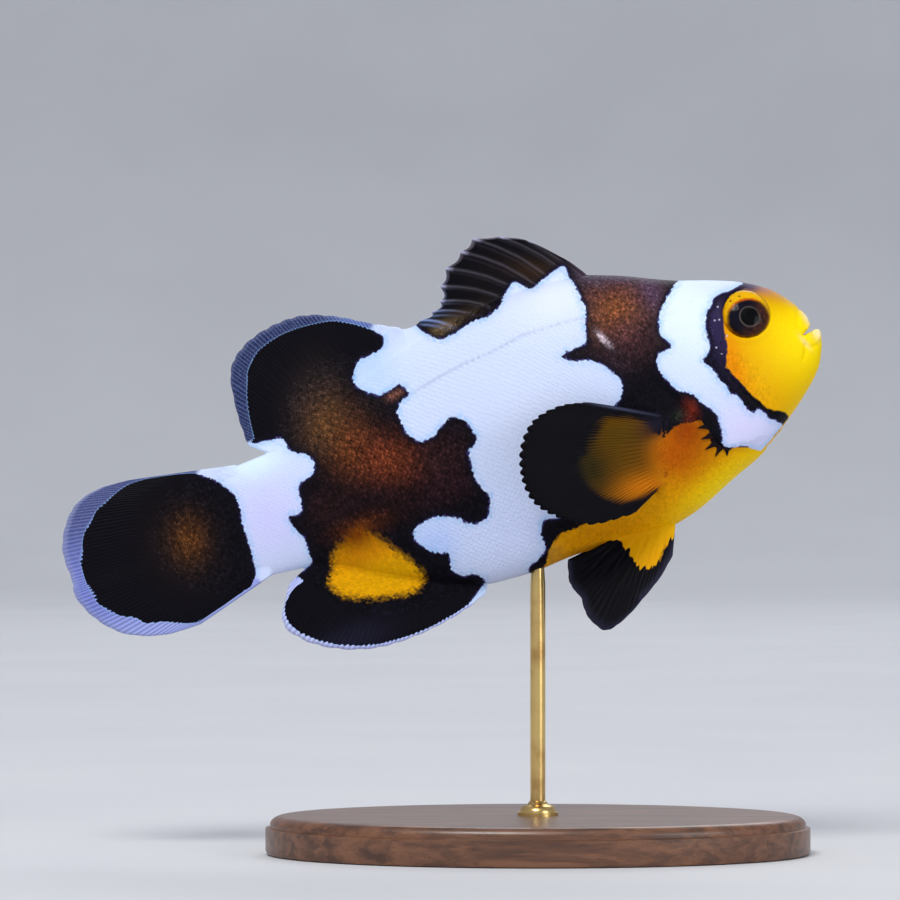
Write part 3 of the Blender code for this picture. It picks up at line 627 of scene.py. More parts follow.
def with_spines(dark, u, v, part, crest, reach):
    """The dark tone, with the median fins' rays, and the dorsal fin's spines, their tips and its rim."""
    dark = pick(part == MEDIAN, dark * (0.75 + 0.4 * crest[:, None]), dark)
    on_spiny = (part == MEDIAN) * (u < 41.5) * (v > 11.0)
    outer = on_spiny * (v > 14.0)
    ray, aside = spine_lines(u, v)
    rear = smoothstep(33.0, 37.5, u)
    line = np.where(on_spiny, 1.0, 0.6 * (part == BODY)) * (0.18 + 0.48 * rear)
    line = line * np.maximum(ray, (0.25 + 0.35 * rear) * aside)
    front = 0.42 + 0.35 * smoothstep(32.0, 29.0, u)
    line = np.maximum(line, front * outer * smoothstep(0.965, 0.99, reach))
    dark = tint(dark, line, tint(SPINE_FRONT, rear, SPINE_REAR))
    return tint(dark, 0.9 * outer * smoothstep(0.93, 0.975, reach) * ray, SPINE_TIPS)


def paired_tones(u, v, crest, reach, on_pelvic, flesh, patch):
    """The paired fins' black, and the pectoral fin's streaked patch, which runs into its fleshy root."""
    # Both fields carry painted shade over the top of the pectoral fin's root.
    black = field(FIN_GROUND, FIN_GLOWS, u, v) * (0.6 + 0.8 * crest[:, None])
    streaked = field(PECTORAL_GROUND, PECTORAL_GLOWS, u, v) * (0.78 + 0.34 * crest[:, None])
    streaked = tint(streaked, smoothstep(0.20, 0.02, reach) * smoothstep(-3.6, -5.4, v), flesh)
    streaked = tint(black, smoothstep(-0.10, 0.45, patch), streaked)
    hem = np.maximum(smoothstep(0.93, 1.0, reach), ridge_along(u, v, PELVIC_FRONT, 0.45)) * on_pelvic
    return tint(black, 0.75 * hem, PELVIC_HEM), streaked


def spine_lines(u, v):
    """How near each (u, v) is to a spine of the dorsal fin, and to the faint line on one side of it. Both run
    on a little way into the body's dark edge."""
    near, aside = np.zeros(len(u)), np.zeros(len(u))
    there = np.flatnonzero((u > 18.0) & (u < 42.5) & (v > 10.5))
    if len(there) == 0:
        return near, aside
    for k, t in enumerate(np.linspace(0, 1, len(SPINE_FEET))):
        foot, tip = spiny_foot(t), line_through(SPINY_EDGE)(t)
        ahead = unit(tip - foot)
        across = sideways(ahead)
        bow = spine_bow(t) * np.linalg.norm(tip - foot) * across
        shares = ((0.0, 0.0), (0.25, 0.71), (0.5, 1.0), (0.75, 0.71), (1.0, 0.0))
        line = [foot - 1.3 * ahead] + [foot + (tip - foot) * r + bow * bend for r, bend in shares]
        other = [point - (0.34 + 0.16 * math.sin(5 * k)) * across for point in line]
        for values, path, width in ((near, line, 0.13), (aside, other, 0.12)):
            values[there] = np.maximum(values[there], ridge_along(u[there], v[there], path, width))
    return near, aside


# ---- The body's surface ----


def spiny_foot(t):
    """The spiny dorsal fin's base, sunk into the back."""
    u = through(list(zip(np.linspace(0, 1, len(SPINE_FEET)), SPINE_FEET)))(t)
    return np.stack([u, back(u) - 0.9], axis=-1)


def spine_bow(t):
    """How far the middles of the spines lie ahead of a straight line, of the spines' length."""
    return SPINE_BOW * smoothstep(0.0, 0.25, t)


def section(u):
    """The smooth skin's section at u: its top, its bottom, the height it is widest at, and its half width."""
    top, bottom = back(u) - SKIN_DEPTH, belly(u) + SKIN_DEPTH
    wide = np.maximum(half_width(u) - SKIN_DEPTH, THINNEST)
    return top, bottom, bottom + widest_share(u) * (top - bottom), wide


def ring_points(u, angle):
    """The smooth left flank at u, where angle runs from the belly at -pi/2 to the back at pi/2."""
    top, bottom, middle, wide = section(u)
    up, out = np.sin(angle), np.cos(angle)
    power = 2 / np.where(up > 0, back_roundness(u), belly_roundness(u))
    w = wide * np.abs(out) ** power
    v = middle + np.where(up > 0, top - middle, middle - bottom) * np.sign(up) * np.abs(up) ** power
    bow = SNOUT_BOW * np.exp(-(u - BODY_FROM) / BOW_LENGTH) * w * w
    return np.stack([u + bow, v, w], axis=-1)


def ridge_along(u, v, line, width):
    return bell(distance_to_line(u, v, line), width)


FOLDS = [  # lines on the head and flank, with how wide and how high they stand
    (LIP_GROOVE, 0.17, -0.17), (JAW_GROOVE, 0.15, -0.16), (CHIN_GROOVE, 0.18, -0.09),
    ([(3.0, 6.2), (5.4, 7.6), (7.8, 7.6)], 0.8, 0.08), ([(18.8, -8.1), (19.2, -8.8)], 0.15, -0.10),
    ([(20.1, -9.4), (20.6, -10.2)], 0.15, -0.10), (LATERAL_LINE, 0.22, 0.05),
]


def relief(u, v, w):
    """How far the head's forms and the fin roots stand out from the smooth body."""
    out = sum(height * ridge_along(u, v, line, width) for line, width, height in FOLDS)
    # The socket of the eye, with an arch over it.
    eye = np.hypot(u - EYE_AT[0], v - EYE_AT[1]) - EYE_RADIUS
    arch = 0.14 - 0.08 * smoothstep(5.0, 7.0, v)
    arch = arch * (0.30 + 0.70 * smoothstep(-0.5, 1.5, 0.6 * (u - EYE_AT[0]) + 0.8 * (v - EYE_AT[1])))
    out += arch * bell(eye - 0.33, 0.26) - 1.15 * smoothstep(0.10, -0.30, eye) - 0.04 * bell(eye - 0.95, 0.30)
    # The lips, and a nostril with its rim.
    out += 0.10 * bell(np.hypot((u - 0.75) / 1.1, (v - 2.0) / 1.3), 0.8)
    out += 0.14 * bell(np.hypot((u - 0.2) / 1.2, v + 0.05), 0.75)
    nostril = np.hypot(u - NOSTRIL[0], v - NOSTRIL[1])
    out += 0.06 * bell(nostril - 0.30, 0.10) - 0.16 * bell(nostril, 0.17)
    # The cheek plate's edge, then the gill cover's, each a step down towards the tail.
    cheek = distance_to_line(u, v, CHEEK_EDGE)
    out += 0.06 * bell(cheek - 0.25, 0.35) - 0.10 * bell(cheek, 0.16)
    gill = distance_to_line(u, v, GILL_EDGE)
    beside = (v < 7.4) & (v > -8.0)
    ahead = smoothstep(0.10, -0.10, u - gill_u(np.clip(v, -8.0, 7.4))) * beside
    out += 0.20 * ahead * bell(gill, 2.2) - 0.16 * bell(gill, 0.22)
    # The fleshy roots of the pectoral fins.
    return out + 0.22 * ridge_along(u, v, PECTORAL_BASE, 1.3) * smoothstep(2.0, 4.0, w)


def flank_points(us, count):
    """The left flank with its relief: points[i, j] at us[i], evenly spread from the belly to the back."""
    fine = ring_points(us[:, None], np.linspace(-math.pi / 2, math.pi / 2, 4 * count)[None, :])
    points = np.stack([resampled(np.linspace(0, length[-1], count), length, row)
                       for length, row in zip(lengths_along(fine), fine)])
    normals = normals_of(points)
    normals[:, [0, -1], 2] = 0
    return points + unit(normals) * relief(*np.moveaxis(points, -1, 0))[..., None]


def normals_of(points):
    return unit(np.cross(np.gradient(points, axis=0), np.gradient(points, axis=1)))


def body_stations():
    """Where the body's rings stand, close together at the lips and the head."""
    lips = [BODY_FROM, -0.73, -0.70, -0.64, -0.55, -0.44, -0.32, -0.20, -0.10, -0.03]
    lips += [0.02, 0.05, 0.08, 0.12, 0.18]
    return np.concatenate([lips, np.arange(0.26, 12.0, 0.17), np.arange(12.0, 18.0, 0.25),
                           np.linspace(18.0, BODY_TO, 104)])


# ---- Meshes from arrays ----


def new_mesh(name, points, corners, sizes):
    """A smooth mesh from rows of points, the faces' corners one after another, and how many each face has."""
    mesh = bpy.data.meshes.new(name)
    sizes = np.asarray(sizes, np.int32)
    mesh.vertices.add(len(points))
    mesh.vertices.foreach_set("co", np.asarray(points, np.float32).ravel())
    mesh.loops.add(len(corners))
    mesh.loops.foreach_set("vertex_index", np.asarray(corners, np.int32))
    mesh.polygons.add(len(sizes))
    mesh.polygons.foreach_set("loop_start", np.concatenate([[0], np.cumsum(sizes)[:-1]]).astype(np.int32))
    mesh.update(calc_edges=True)
    mesh.validate()
    mesh.shade_smooth()
    return mesh


def quads_between(first, second, closed=False):
    """Faces between two rows of vertex numbers."""
    if closed:
        first, second = np.append(first, first[0]), np.append(second, second[0])
    return np.stack([first[:-1], first[1:], second[1:], second[:-1]], axis=1)


def strips(numbers, closed=False):
    """Faces between each row of vertex numbers and the next."""
    return np.concatenate([quads_between(a, b, closed) for a, b in zip(numbers, numbers[1:])])


def tube(count, sides, start=0, capped=True):
    """The corners and sizes of the faces of a tube: rings of as many points, and a face on either end."""
    numbers = start + np.arange(count * sides).reshape(count, sides)
    quads = strips(numbers, closed=True)
    corners, sizes = [quads.ravel()], [4] * len(quads)
    if capped:
        corners += [numbers[0][::-1], numbers[-1]]
        sizes += [sides, sides]
    return np.concatenate(corners), sizes


def facing_out(mesh):
    """The mesh with all its faces turned outwards."""
    shape = bmesh.new()
    shape.from_mesh(mesh)
    bmesh.ops.recalc_face_normals(shape, faces=shape.faces)
    shape.to_mesh(mesh)
    shape.free()
    return mesh


def add_object(name, mesh, material=None):
    made = bpy.data.objects.new(name, mesh)
    bpy.context.scene.collection.objects.link(made)
    if material:
        mesh.materials.clear()
        mesh.materials.append(material)
    return made


def give(mesh, name, values):
    """Stores one number, or one row of three, per vertex."""
    values = np.asarray(values, np.float32)
    kind = "FLOAT" if values.ndim == 1 else "FLOAT_VECTOR"
    stored = mesh.attributes.new(name, kind, "POINT")
    stored.data.foreach_set("value" if kind == "FLOAT" else "vector", values.ravel())


def held(mesh, name):
    values = np.empty(len(mesh.vertices), np.float32)
    mesh.attributes[name].data.foreach_get("value", values)
    return values.astype(float)


def of_part(mesh, part, crest=1.0, reach=0.0):
    """The mesh, with the part, the rays' crest and the reach out along a fin stored on it."""
    for name, values in (("part", part), ("crest", crest), ("reach", reach)):
        give(mesh, name, np.broadcast_to(values, len(mesh.vertices)))
    return mesh


def give_charts(mesh, charts):
    """The map OFBake, with one place for each vertex."""
    corner_verts = np.empty(len(mesh.loops), np.int32)
    mesh.loops.foreach_get("vertex_index", corner_verts)
    layer = mesh.uv_layers.new(name="OFBake")
    layer.data.foreach_set("uv", charts[corner_verts].astype(np.float32).ravel())


def places(mesh):
    values = np.empty(len(mesh.vertices) * 3, np.float32)
    mesh.vertices.foreach_get("co", values)
    return values.reshape(-1, 3).astype(float)


def body_mesh():
    """The body alone, in straight millimetres, closed at the lip and inside the tail fin."""
    half = flank_points(body_stations(), BODY_ROWS)
    rings = np.concatenate([half, half[:, -2:0:-1] * [1, 1, -1]], axis=1)
    stations, around = rings.shape[:2]
    numbers = np.arange(stations * around).reshape(stations, around)
    faces = strips(numbers, closed=True)
    corners = np.concatenate([faces[:, ::-1].ravel(), numbers[0], numbers[-1][::-1]])
    sizes = [4] * len(faces) + [around, around]
    return of_part(new_mesh("body", rings.reshape(-1, 3), corners, sizes), BODY)


# ---- Fins ----


def crests(x, r, splits):
    """Fin rays over x, counted in rays: one crest each, which parts in two and in four towards the edge."""
    whole = 0.5 - 0.5 * np.cos(2 * math.pi * x)
    if not splits:
        return whole**10
    two = 0.5 - 0.5 * np.cos(4 * math.pi * x)
    four = 0.5 - 0.5 * np.cos(8 * math.pi * x)
    first = smoothstep(0.22, 0.40, r)
    second = smoothstep(0.50, 0.68, r)
    return (whole * (1 - first) + two * first) * (1 - second) + four * second


class Fin:
    """A fin of rays from base(t) to edge(t). out(t, r, u, v) is how far to the left its middle sheet lies."""

    def __init__(self, base, edge, rays, columns, rows, root, tip, ridge, part, out, splits=True, notch=0.0,
                 crest_at=0.0, side=1, rise=(0.10, 0.20), lobes=1, bow=None):
        t = np.linspace(0, 1, rays * columns + 1)
        r = smoothstep(0, 1, np.linspace(0, 1, rows)) * 0.25 + np.linspace(0, 1, rows) * 0.75
        self.t, self.r = np.meshgrid(t, r, indexing="ij")
        self.part = part
        foot, tips = base(t), edge(t)
        count = t * rays + crest_at + splits * (0.12 * np.sin(11 * t + 1) + 0.06 * np.sin(27 * t))
        arch = np.abs(np.sin(math.pi * lobes * count))
        # Lobes at branched rays, and points at spines but for the first ones.
        dip = notch * ((1 - arch) if splits else np.sqrt(1 - arch**2) * smoothstep(0.06, 0.32, t))
        tips = tips - dip[:, None] * unit(tips - foot)
        middle = foot[:, None] + (tips - foot)[:, None] * self.r[..., None]
        if bow:
            bend = (bow(t) * np.linalg.norm(tips - foot, axis=-1))[:, None] * np.sin(math.pi * self.r)
            middle = middle + bend[..., None] * sideways(unit(tips - foot))[:, None]
        u, v = middle[..., 0], middle[..., 1]
        self.centre = np.stack([u, v, out(self.t, self.r, u, v)], axis=-1)
        self.normal = normals_of(self.centre) * side
        rising = smoothstep(*rise, self.r)
        sway = 0.16 * splits * np.sin(9 * self.r + 31 * self.t) * self.r * (1 - self.r)
        self.crest = 0.6 + rising * (crests(count[:, None] + sway, self.r, splits) - 0.6)
        ends = smoothstep(0.0, 0.012, self.t) * smoothstep(1.0, 0.988, self.t)
        thin = tip + (root - tip) * (1 - self.r) ** 1.5
        rounded_edge = 1 - 0.45 * smoothstep(0.97, 1.0, self.r)
        self.half = (thin + ridge * (self.crest - 0.35) * rising) * rounded_edge
        self.half = np.maximum(self.half, THINNEST) * (0.6 + 0.4 * ends)
        if part == PECTORAL:  # its front corner lies down into the flank
            self.half *= 1 - 0.55 * smoothstep(0.22, 0.0, self.t) * smoothstep(0.45, 0.05, self.r)

    def surface(self, way):
        """The fin's face on one side."""
        return self.centre + way * self.normal * self.half[..., None]

    def mesh(self, name):
        one = np.arange(self.half.size).reshape(self.half.shape)
        two = one + self.half.size
        rims = [(one[:, -1], two[:, -1]), (two[:, 0], one[:, 0]), (one[-1], two[-1]), (two[0], one[0])]
        faces = np.concatenate([strips(one), strips(two)[:, ::-1], *(quads_between(a, b) for a, b in rims)])
        points = np.concatenate([self.surface(way).reshape(-1, 3) for way in (1, -1)])
        mesh = facing_out(new_mesh(name, points, faces.ravel(), [4] * len(faces)))
        return of_part(mesh, self.part, np.tile(self.crest.ravel(), 2), np.tile(self.r.ravel(), 2))


def flank(u, v):
    """How far out the smooth body's side is at (u, v)."""
    top, bottom, middle, wide = section(u)
    above = v > middle
    power = np.where(above, back_roundness(u), belly_roundness(u))
    share = np.clip(np.abs(v - middle) / np.where(above, top - middle, middle - bottom), 0, 1)
    return wide * (1 - share**power) ** (1 / power)


def underside(u, w):
    """The height of the belly's surface at (u, w)."""
    _, bottom, middle, wide = section(u)
    power = belly_roundness(u)
    return middle - (middle - bottom) * (1 - np.clip(abs(w) / wide, 0, 1) ** power) ** (1 / power)


def along_body(stretch, contour, sunk):
    """A fin's base along the back or the belly, sunk into the body."""

    def foot(t):
        u = stretch[0] + (stretch[1] - stretch[0]) * t
        return np.stack([u, contour(u) - sunk], axis=-1)

    return foot


def waves(size, count, shift):
    """A gentle wave over a median fin's sheet, growing towards its edge."""
    return lambda t, r, u, v: size * r**1.5 * np.sin(2 * math.pi * (count * t + shift) + 1.5 * r)


def tail_root(t):
    return np.stack([np.full_like(t, CAUDAL_ROOT), 6.0 - 11.95 * t], axis=-1)


def from_foot(foot, u, v):
    """How far each (u, v) is from its own ray's foot."""
    return np.hypot(u - foot[..., 0], v - foot[..., 1])


def pectoral_out(side):
    def out(t, r, u, v):
        foot = line_through(PECTORAL_BASE)(t)
        lift = -0.35 + (0.30 + 0.45 * smoothstep(0.0, 0.3, t)) * smoothstep(0.0, 0.16, r)
        cup = 0.55 * np.sin(math.pi * t) * r * (1 - 0.4 * r)
        flare = math.tan(PECTORAL_FLARE) * from_foot(foot, u, v)
        return side * (flank(foot[..., 0], foot[..., 1]) + lift + cup + flare)

    return out


def pectoral_foot(t):
    """The pectoral fin's base, with its feet a little ahead of where the rays come out of the flesh."""
    return line_through(PECTORAL_BASE)(t) - [0.35, -0.05]


def pelvic_foot(t):
    u = PELVIC_BASE[0] + (PELVIC_BASE[1] - PELVIC_BASE[0]) * t
    return np.stack([u, underside(u, PELVIC_OUT) + 0.7], axis=-1)


def pelvic_out(side):
    def out(t, r, u, v):
        return side * (PELVIC_OUT - 0.25 + math.tan(PELVIC_SPREAD) * from_foot(pelvic_foot(t), u, v))

    return out


FINS = {
    "dorsal_spiny": Fin(spiny_foot, line_through(SPINY_EDGE), rays=len(SPINE_FEET) - 1, columns=18, rows=18,
                        root=0.42, tip=0.10, ridge=0.12, part=MEDIAN, out=waves(0.25, 0.7, 0.1), splits=False,
                        notch=0.46, crest_at=0.5, bow=spine_bow),
    "dorsal_soft": Fin(along_body(SOFT_BASE, back, 0.9), line_through(SOFT_EDGE), rays=17, columns=16,
                       rows=20, root=0.55, tip=0.10, ridge=0.045, part=MEDIAN, out=waves(0.35, 0.6, 0.55),
                       notch=0.12, rise=(0.40, 0.55)),
    "anal": Fin(along_body(ANAL_BASE, belly, -0.9), line_through(ANAL_EDGE), rays=14, columns=16, rows=18,
                root=0.55, tip=0.10, ridge=0.045, part=MEDIAN, out=waves(0.35, 0.6, 0.3), notch=0.12,
                rise=(0.56, 0.72)),
    "caudal": Fin(tail_root, line_through(CAUDAL_EDGE), rays=17, columns=16, rows=22, root=0.70, tip=0.10,
                  ridge=0.05, part=MEDIAN, out=waves(0.45, 0.55, 0.2), notch=0.08, rise=(0.48, 0.62)),
}
for way, where in SIDES:
    FINS[f"pectoral_{where}"] = Fin(
        pectoral_foot, line_through(PECTORAL_EDGE), rays=26, columns=10, rows=22, root=0.42, tip=0.09,
        ridge=0.05,
        part=PECTORAL, out=pectoral_out(way), notch=0.36, side=way, rise=(0.13, 0.26))
    FINS[f"pelvic_{where}"] = Fin(
        pelvic_foot, line_through(PELVIC_EDGE), rays=6, columns=12, rows=18, root=0.45, tip=0.10, ridge=0.07,
        part=PELVIC, out=pelvic_out(way), notch=0.10, side=way, lobes=2)


# ---- Materials ----


class Nodes:
    """A short way to write a material's nodes. Three numbers for a colour are a display colour out of 255."""

    def __init__(self, name):
        self.material = bpy.data.materials.new(name)
        self.material.use_nodes = True
        self.tree = self.material.node_tree
        self.shader = self.tree.nodes["Principled BSDF"]

    def put(self, socket, value):
        if isinstance(value, bpy.types.NodeSocket):
            self.tree.links.new(value, socket)
        elif value is not None:
            if socket.type == "RGBA" and len(value) == 3:
                value = (*linear(*value), 1)
            socket.default_value = value

    def add(self, kind, inputs=None, **settings):
        node = self.tree.nodes.new(kind)
        for key, value in settings.items():
            setattr(node, key, value)
        for key, value in (inputs or {}).items():
            self.put(node.inputs[key], value)
        return node

    def math(self, operation, a, b=None, c=None):
        return self.add("ShaderNodeMath", {0: a, 1: b, 2: c}, operation=operation).outputs[0]

    def vector_math(self, operation, a, b=None, out="Vector"):
        return self.add("ShaderNodeVectorMath", {0: a, 1: b}, operation=operation).outputs[out]

    def scaled(self, vector, factor):
        inputs = {0: vector, "Scale": factor}
        return self.add("ShaderNodeVectorMath", inputs, operation="SCALE").outputs["Vector"]

    def millimetres(self):
        """The surface's own coordinates, in millimetres."""
        return self.scaled(self.add("ShaderNodeTexCoord").outputs["Object"], 1 / MM)

    def attribute(self, name, out="Fac"):
        return self.add("ShaderNodeAttribute", attribute_name=name).outputs[out]

    def noise(self, vector, scale, detail=2.0, roughness=0.5, out="Fac"):
        inputs = {"Vector": vector, "Scale": scale, "Detail": detail, "Roughness": roughness}
        return self.add("ShaderNodeTexNoise", inputs).outputs[out]

    def ramp(self, value, low, high, to_low=0.0, to_high=1.0):
        inputs = {"Value": value, "From Min": low, "From Max": high, "To Min": to_low, "To Max": to_high}
        return self.add("ShaderNodeMapRange", inputs, interpolation_type="SMOOTHSTEP").outputs[0]

    def mix(self, share, first, second, blend="MIX"):
        inputs = {0: share, 6: first, 7: second}
        return self.add("ShaderNodeMix", inputs, data_type="RGBA", blend_type=blend).outputs[2]

    def bump(self, height, strength, distance):
        inputs = {"Height": height, "Strength": strength, "Distance": distance}
        return self.add("ShaderNodeBump", inputs).outputs["Normal"]

    def set(self, **inputs):
        for key, value in inputs.items():
            self.put(self.shader.inputs[key.replace("_", " ")], value)
        return self.material


def skin_material(name, scaled_skin):
    """Skin or scales: dark ground, yellow and white markings with ragged edges, and pale pores."""
    n = Nodes(name)
    place = n.millimetres()
    ragged = n.math("SUBTRACT", n.noise(place, 1.1, 3.0, 0.65), 0.5)
    fine = n.noise(place, 7.0, 2.0, 0.6)
    white_at = n.math("MULTIPLY_ADD", ragged, 0.42, n.attribute("white"))
    yellow_at = n.math("MULTIPLY_ADD", ragged, 0.45, n.attribute("yellow"))
    dark, yellow, white = (n.attribute(f"{key}_tone", "Color") for key in ("dark", "yellow", "white"))
    dark = n.mix(n.ramp(fine, 0.35, 0.75, 0.0, 0.30), dark, (8, 7, 14))
    yellow = n.mix(n.ramp(fine, 0.30, 0.70, 0.0, 0.25), yellow, (0.90, 0.56, 1.0, 1.0), "MULTIPLY")
    edging = n.ramp(white_at, 0.75, 0.05, 0.0, 0.5)
    if scaled_skin:
        shade = n.attribute("shade")
        grainy = n.math("MULTIPLY", n.ramp(shade, 0.0, 1.0, 0.55, 1.6),
                        n.ramp(n.attribute("rim"), 0.2, 1.0, 1.15, 0.65))
        speckle = n.ramp(n.noise(place, 2.6, 2.0, 0.7), 0.32, 0.68, 0.45, 1.6)
        dark = n.scaled(dark, n.math("MULTIPLY", grainy, speckle))
        yellow = n.scaled(yellow, n.ramp(shade, 0.0, 1.0, 0.88, 1.10))
        edging = n.math("MULTIPLY", n.ramp(white_at, 0.95, 0.10), n.ramp(shade, 0.35, 0.95, 0.12, 0.75))
    dark = n.mix(n.ramp(white_at, -0.75, -0.10, 0.0, 0.85), dark, (14, 12, 26))
    outline = n.math("MULTIPLY", n.ramp(white_at, -0.16, -0.06), n.ramp(white_at, 0.02, -0.04))
    dark = n.mix(n.math("MULTIPLY", outline, 0.6), dark, (70, 62, 130))
    white = n.mix(edging, white, (150, 194, 240))
    white = n.mix(n.ramp(fine, 0.35, 0.75, 0.0, 0.10), white, (190, 200, 232))
    colour = n.mix(n.ramp(yellow_at, -0.10, 0.10), dark, yellow)
    colour = n.mix(n.ramp(white_at, -0.05, 0.05), colour, white)
    if scaled_skin:
        colour = n.scaled(colour, n.ramp(outline, 0.35, 1.0, 1.0, 0.97))
        normal = n.bump(n.noise(place, 9.0, 2.0), 0.25, 0.02 * MM)
    else:
        flat = n.vector_math("MULTIPLY", n.attribute("place", "Vector"), (1.0, 1.0, 0.0))
        nearest = 1.0
        for u, v in PORES:
            nearest = n.math("MINIMUM", nearest, n.vector_math("DISTANCE", flat, (u, v, 0.0), "Value"))
        pores = n.math("MULTIPLY", n.ramp(nearest, 0.13, 0.07), 0.75)
        colour = n.mix(pores, colour, (190, 186, 210))
        grain = n.math("MULTIPLY_ADD", n.noise(place, 3.2, 3.0), 0.6, n.noise(place, 11.0, 2.0))
        normal = n.bump(grain, 0.35, 0.04 * MM)
    return n.set(Base_Color=colour, Roughness=0.46, Normal=normal, Specular_IOR_Level=0.06)


def spine_material():
    n = Nodes("gill_spine")
    tone = n.mix(n.ramp(n.noise(n.millimetres(), 3.0), 0.4, 0.7), (12, 10, 18), (36, 18, 18))
    return n.set(Base_Color=tone, Roughness=0.5, Specular_IOR_Level=0.06)


PUPIL_AT, PUPIL_RADIUS = (-0.04, -0.60), 0.96  # from the eye's middle, as all of the eye's markings
IRIS_AT, IRIS_RADIUS, IRIS_STRETCH = (0.06, -0.62), 1.90, (0.90, 1.04)
EYE_SPOTS = [(0.10, 1.82, 0.11), (1.13, 1.67, 0.10), (0.62, 1.30, 0.06), (1.80, 0.55, 0.07)]


def eye_material():
    """A yellow ring, a dark mottled iris, a thin pale ring and a black pupil, set from the eye's middle."""
    n = Nodes("eye")
    place = n.attribute("place", "Vector")
    cloud = n.math("SUBTRACT", n.noise(place, 1.6, 4.0, 0.65), 0.5)
    specks = n.noise(place, 6.0, 3.0, 0.7)

    def away_from(middle, stretch=(1.0, 1.0)):
        seen = n.vector_math("MULTIPLY", place, (*stretch, 1.0))
        return n.vector_math("DISTANCE", seen, (middle[0] * stretch[0], middle[1] * stretch[1], 0.0), "Value")

    x, y, _ = n.add("ShaderNodeSeparateXYZ", {0: place}).outputs
    yellow = n.mix(n.ramp(specks, 0.35, 0.7), (244, 200, 0), (206, 132, 0))
    yellow = n.mix(n.ramp(y, -0.6, -1.8), yellow, (214, 140, 8))
    for u, v, radius in EYE_SPOTS:
        blurred = n.math("MULTIPLY_ADD", cloud, 0.12, away_from((u, v)))
        yellow = n.mix(n.ramp(blurred, radius + 0.04, radius - 0.03), yellow, (60, 20, 8))
    from_iris = n.math("MULTIPLY_ADD", cloud, 0.36, away_from(IRIS_AT, IRIS_STRETCH))
    above = n.ramp(y, IRIS_AT[1] + 1.1, IRIS_AT[1] + 1.6)
    colour = n.mix(n.ramp(from_iris, IRIS_RADIUS + 0.30, IRIS_RADIUS - 0.02), yellow, (112, 74, 8))
    orange = n.math("MULTIPLY", n.ramp(from_iris, IRIS_RADIUS + 0.28, IRIS_RADIUS + 0.10), above)
    colour = n.mix(orange, colour, (190, 82, 6))
    front = n.ramp(n.math("ADD", x, y), 0.3, -2.4)
    mottle = n.math("MULTIPLY", n.ramp(n.noise(place, 3.4, 3.0, 0.7), 0.42, 0.62), front)
    iris = n.mix(mottle, (12, 10, 24), (92, 52, 34))
    outer = n.math("MULTIPLY", n.ramp(from_iris, IRIS_RADIUS - 0.55, IRIS_RADIUS - 0.02), front)
    iris = n.mix(n.math("MULTIPLY", outer, 0.75), iris, (84, 40, 16))
    colour = n.mix(n.ramp(from_iris, IRIS_RADIUS + 0.08, IRIS_RADIUS - 0.14), colour, iris)
    from_pupil = away_from(PUPIL_AT)
    pale = n.math("MULTIPLY", n.ramp(from_pupil, PUPIL_RADIUS + 0.16, PUPIL_RADIUS + 0.09),
                  n.ramp(from_pupil, PUPIL_RADIUS, PUPIL_RADIUS + 0.05))
    colour = n.mix(n.math("MULTIPLY", pale, n.ramp(specks, 0.3, 0.6, 0.35, 0.75)), colour, (104, 96, 90))
    colour = n.mix(n.ramp(from_pupil, PUPIL_RADIUS + 0.03, PUPIL_RADIUS - 0.03), colour, (3, 3, 6))
    return n.set(Base_Color=colour, Roughness=0.5, Specular_IOR_Level=0.04)


def cornea_material():
    """Clear, with only its reflections showing."""
    n = Nodes("cornea")
    clear = n.add("ShaderNodeBsdfTransparent").outputs[0]
    shine = n.add("ShaderNodeBsdfGlossy", {"Roughness": 0.03}).outputs[0]
    share = n.add("ShaderNodeFresnel", {"IOR": 1.17}).outputs[0]
    mixed = n.add("ShaderNodeMixShader", {0: share, 1: clear, 2: shine}).outputs[0]
    n.put(n.tree.nodes["Material Output"].inputs["Surface"], mixed)
    n.tree.nodes.remove(n.shader)
    return n.material


def walnut_material():
    """Oiled walnut: long grain along X with darker lines and open pores."""
    n = Nodes("walnut")
    place = n.millimetres()
    stretched = n.vector_math("MULTIPLY", place, (0.045, 0.5, 0.5))
    warp = n.vector_math("ADD", stretched, n.scaled(n.noise(stretched, 1.2, 3.0, out="Color"), 1.4))
    wood = n.mix(n.ramp(n.noise(warp, 1.6, 4.0, 0.6), 0.30, 0.70), (74, 46, 32), (124, 82, 56))
    pores = n.noise(n.vector_math("MULTIPLY", place, (0.35, 7.0, 7.0)), 1.0, 2.0)
    wood = n.mix(n.ramp(pores, 0.62, 0.72, 0.0, 0.55), wood, (44, 26, 18))
    return n.set(Base_Color=wood, Roughness=0.38, Normal=n.bump(pores, 0.2, 0.05 * MM), Coat_Weight=0.2,
                 Coat_Roughness=0.15)


def brass_material():
    """Brushed brass, with fine rings round the rod and slight tarnish."""
    n = Nodes("brass")
    place = n.millimetres()
    rings = n.noise(n.vector_math("MULTIPLY", place, (0.6, 0.6, 14.0)), 1.0, 2.0)
    colour = n.mix(n.ramp(n.noise(place, 0.35, 3.0), 0.4, 0.75), (222, 190, 122), (186, 146, 88))
    return n.set(Base_Color=colour, Metallic=1.0, Roughness=0.28, Normal=n.bump(rings, 0.15, 0.02 * MM))


def paper_material():
    """The studio's floor and backdrop: pale matt paper."""
    n = Nodes("studio_paper")
    tone = n.mix(n.ramp(n.noise(n.millimetres(), 0.02, 2.0), 0.3, 0.7), (210, 211, 215), (213, 214, 217))
    return n.set(Base_Color=tone, Roughness=0.9, Specular_IOR_Level=0.2)


# ---- The skin ----


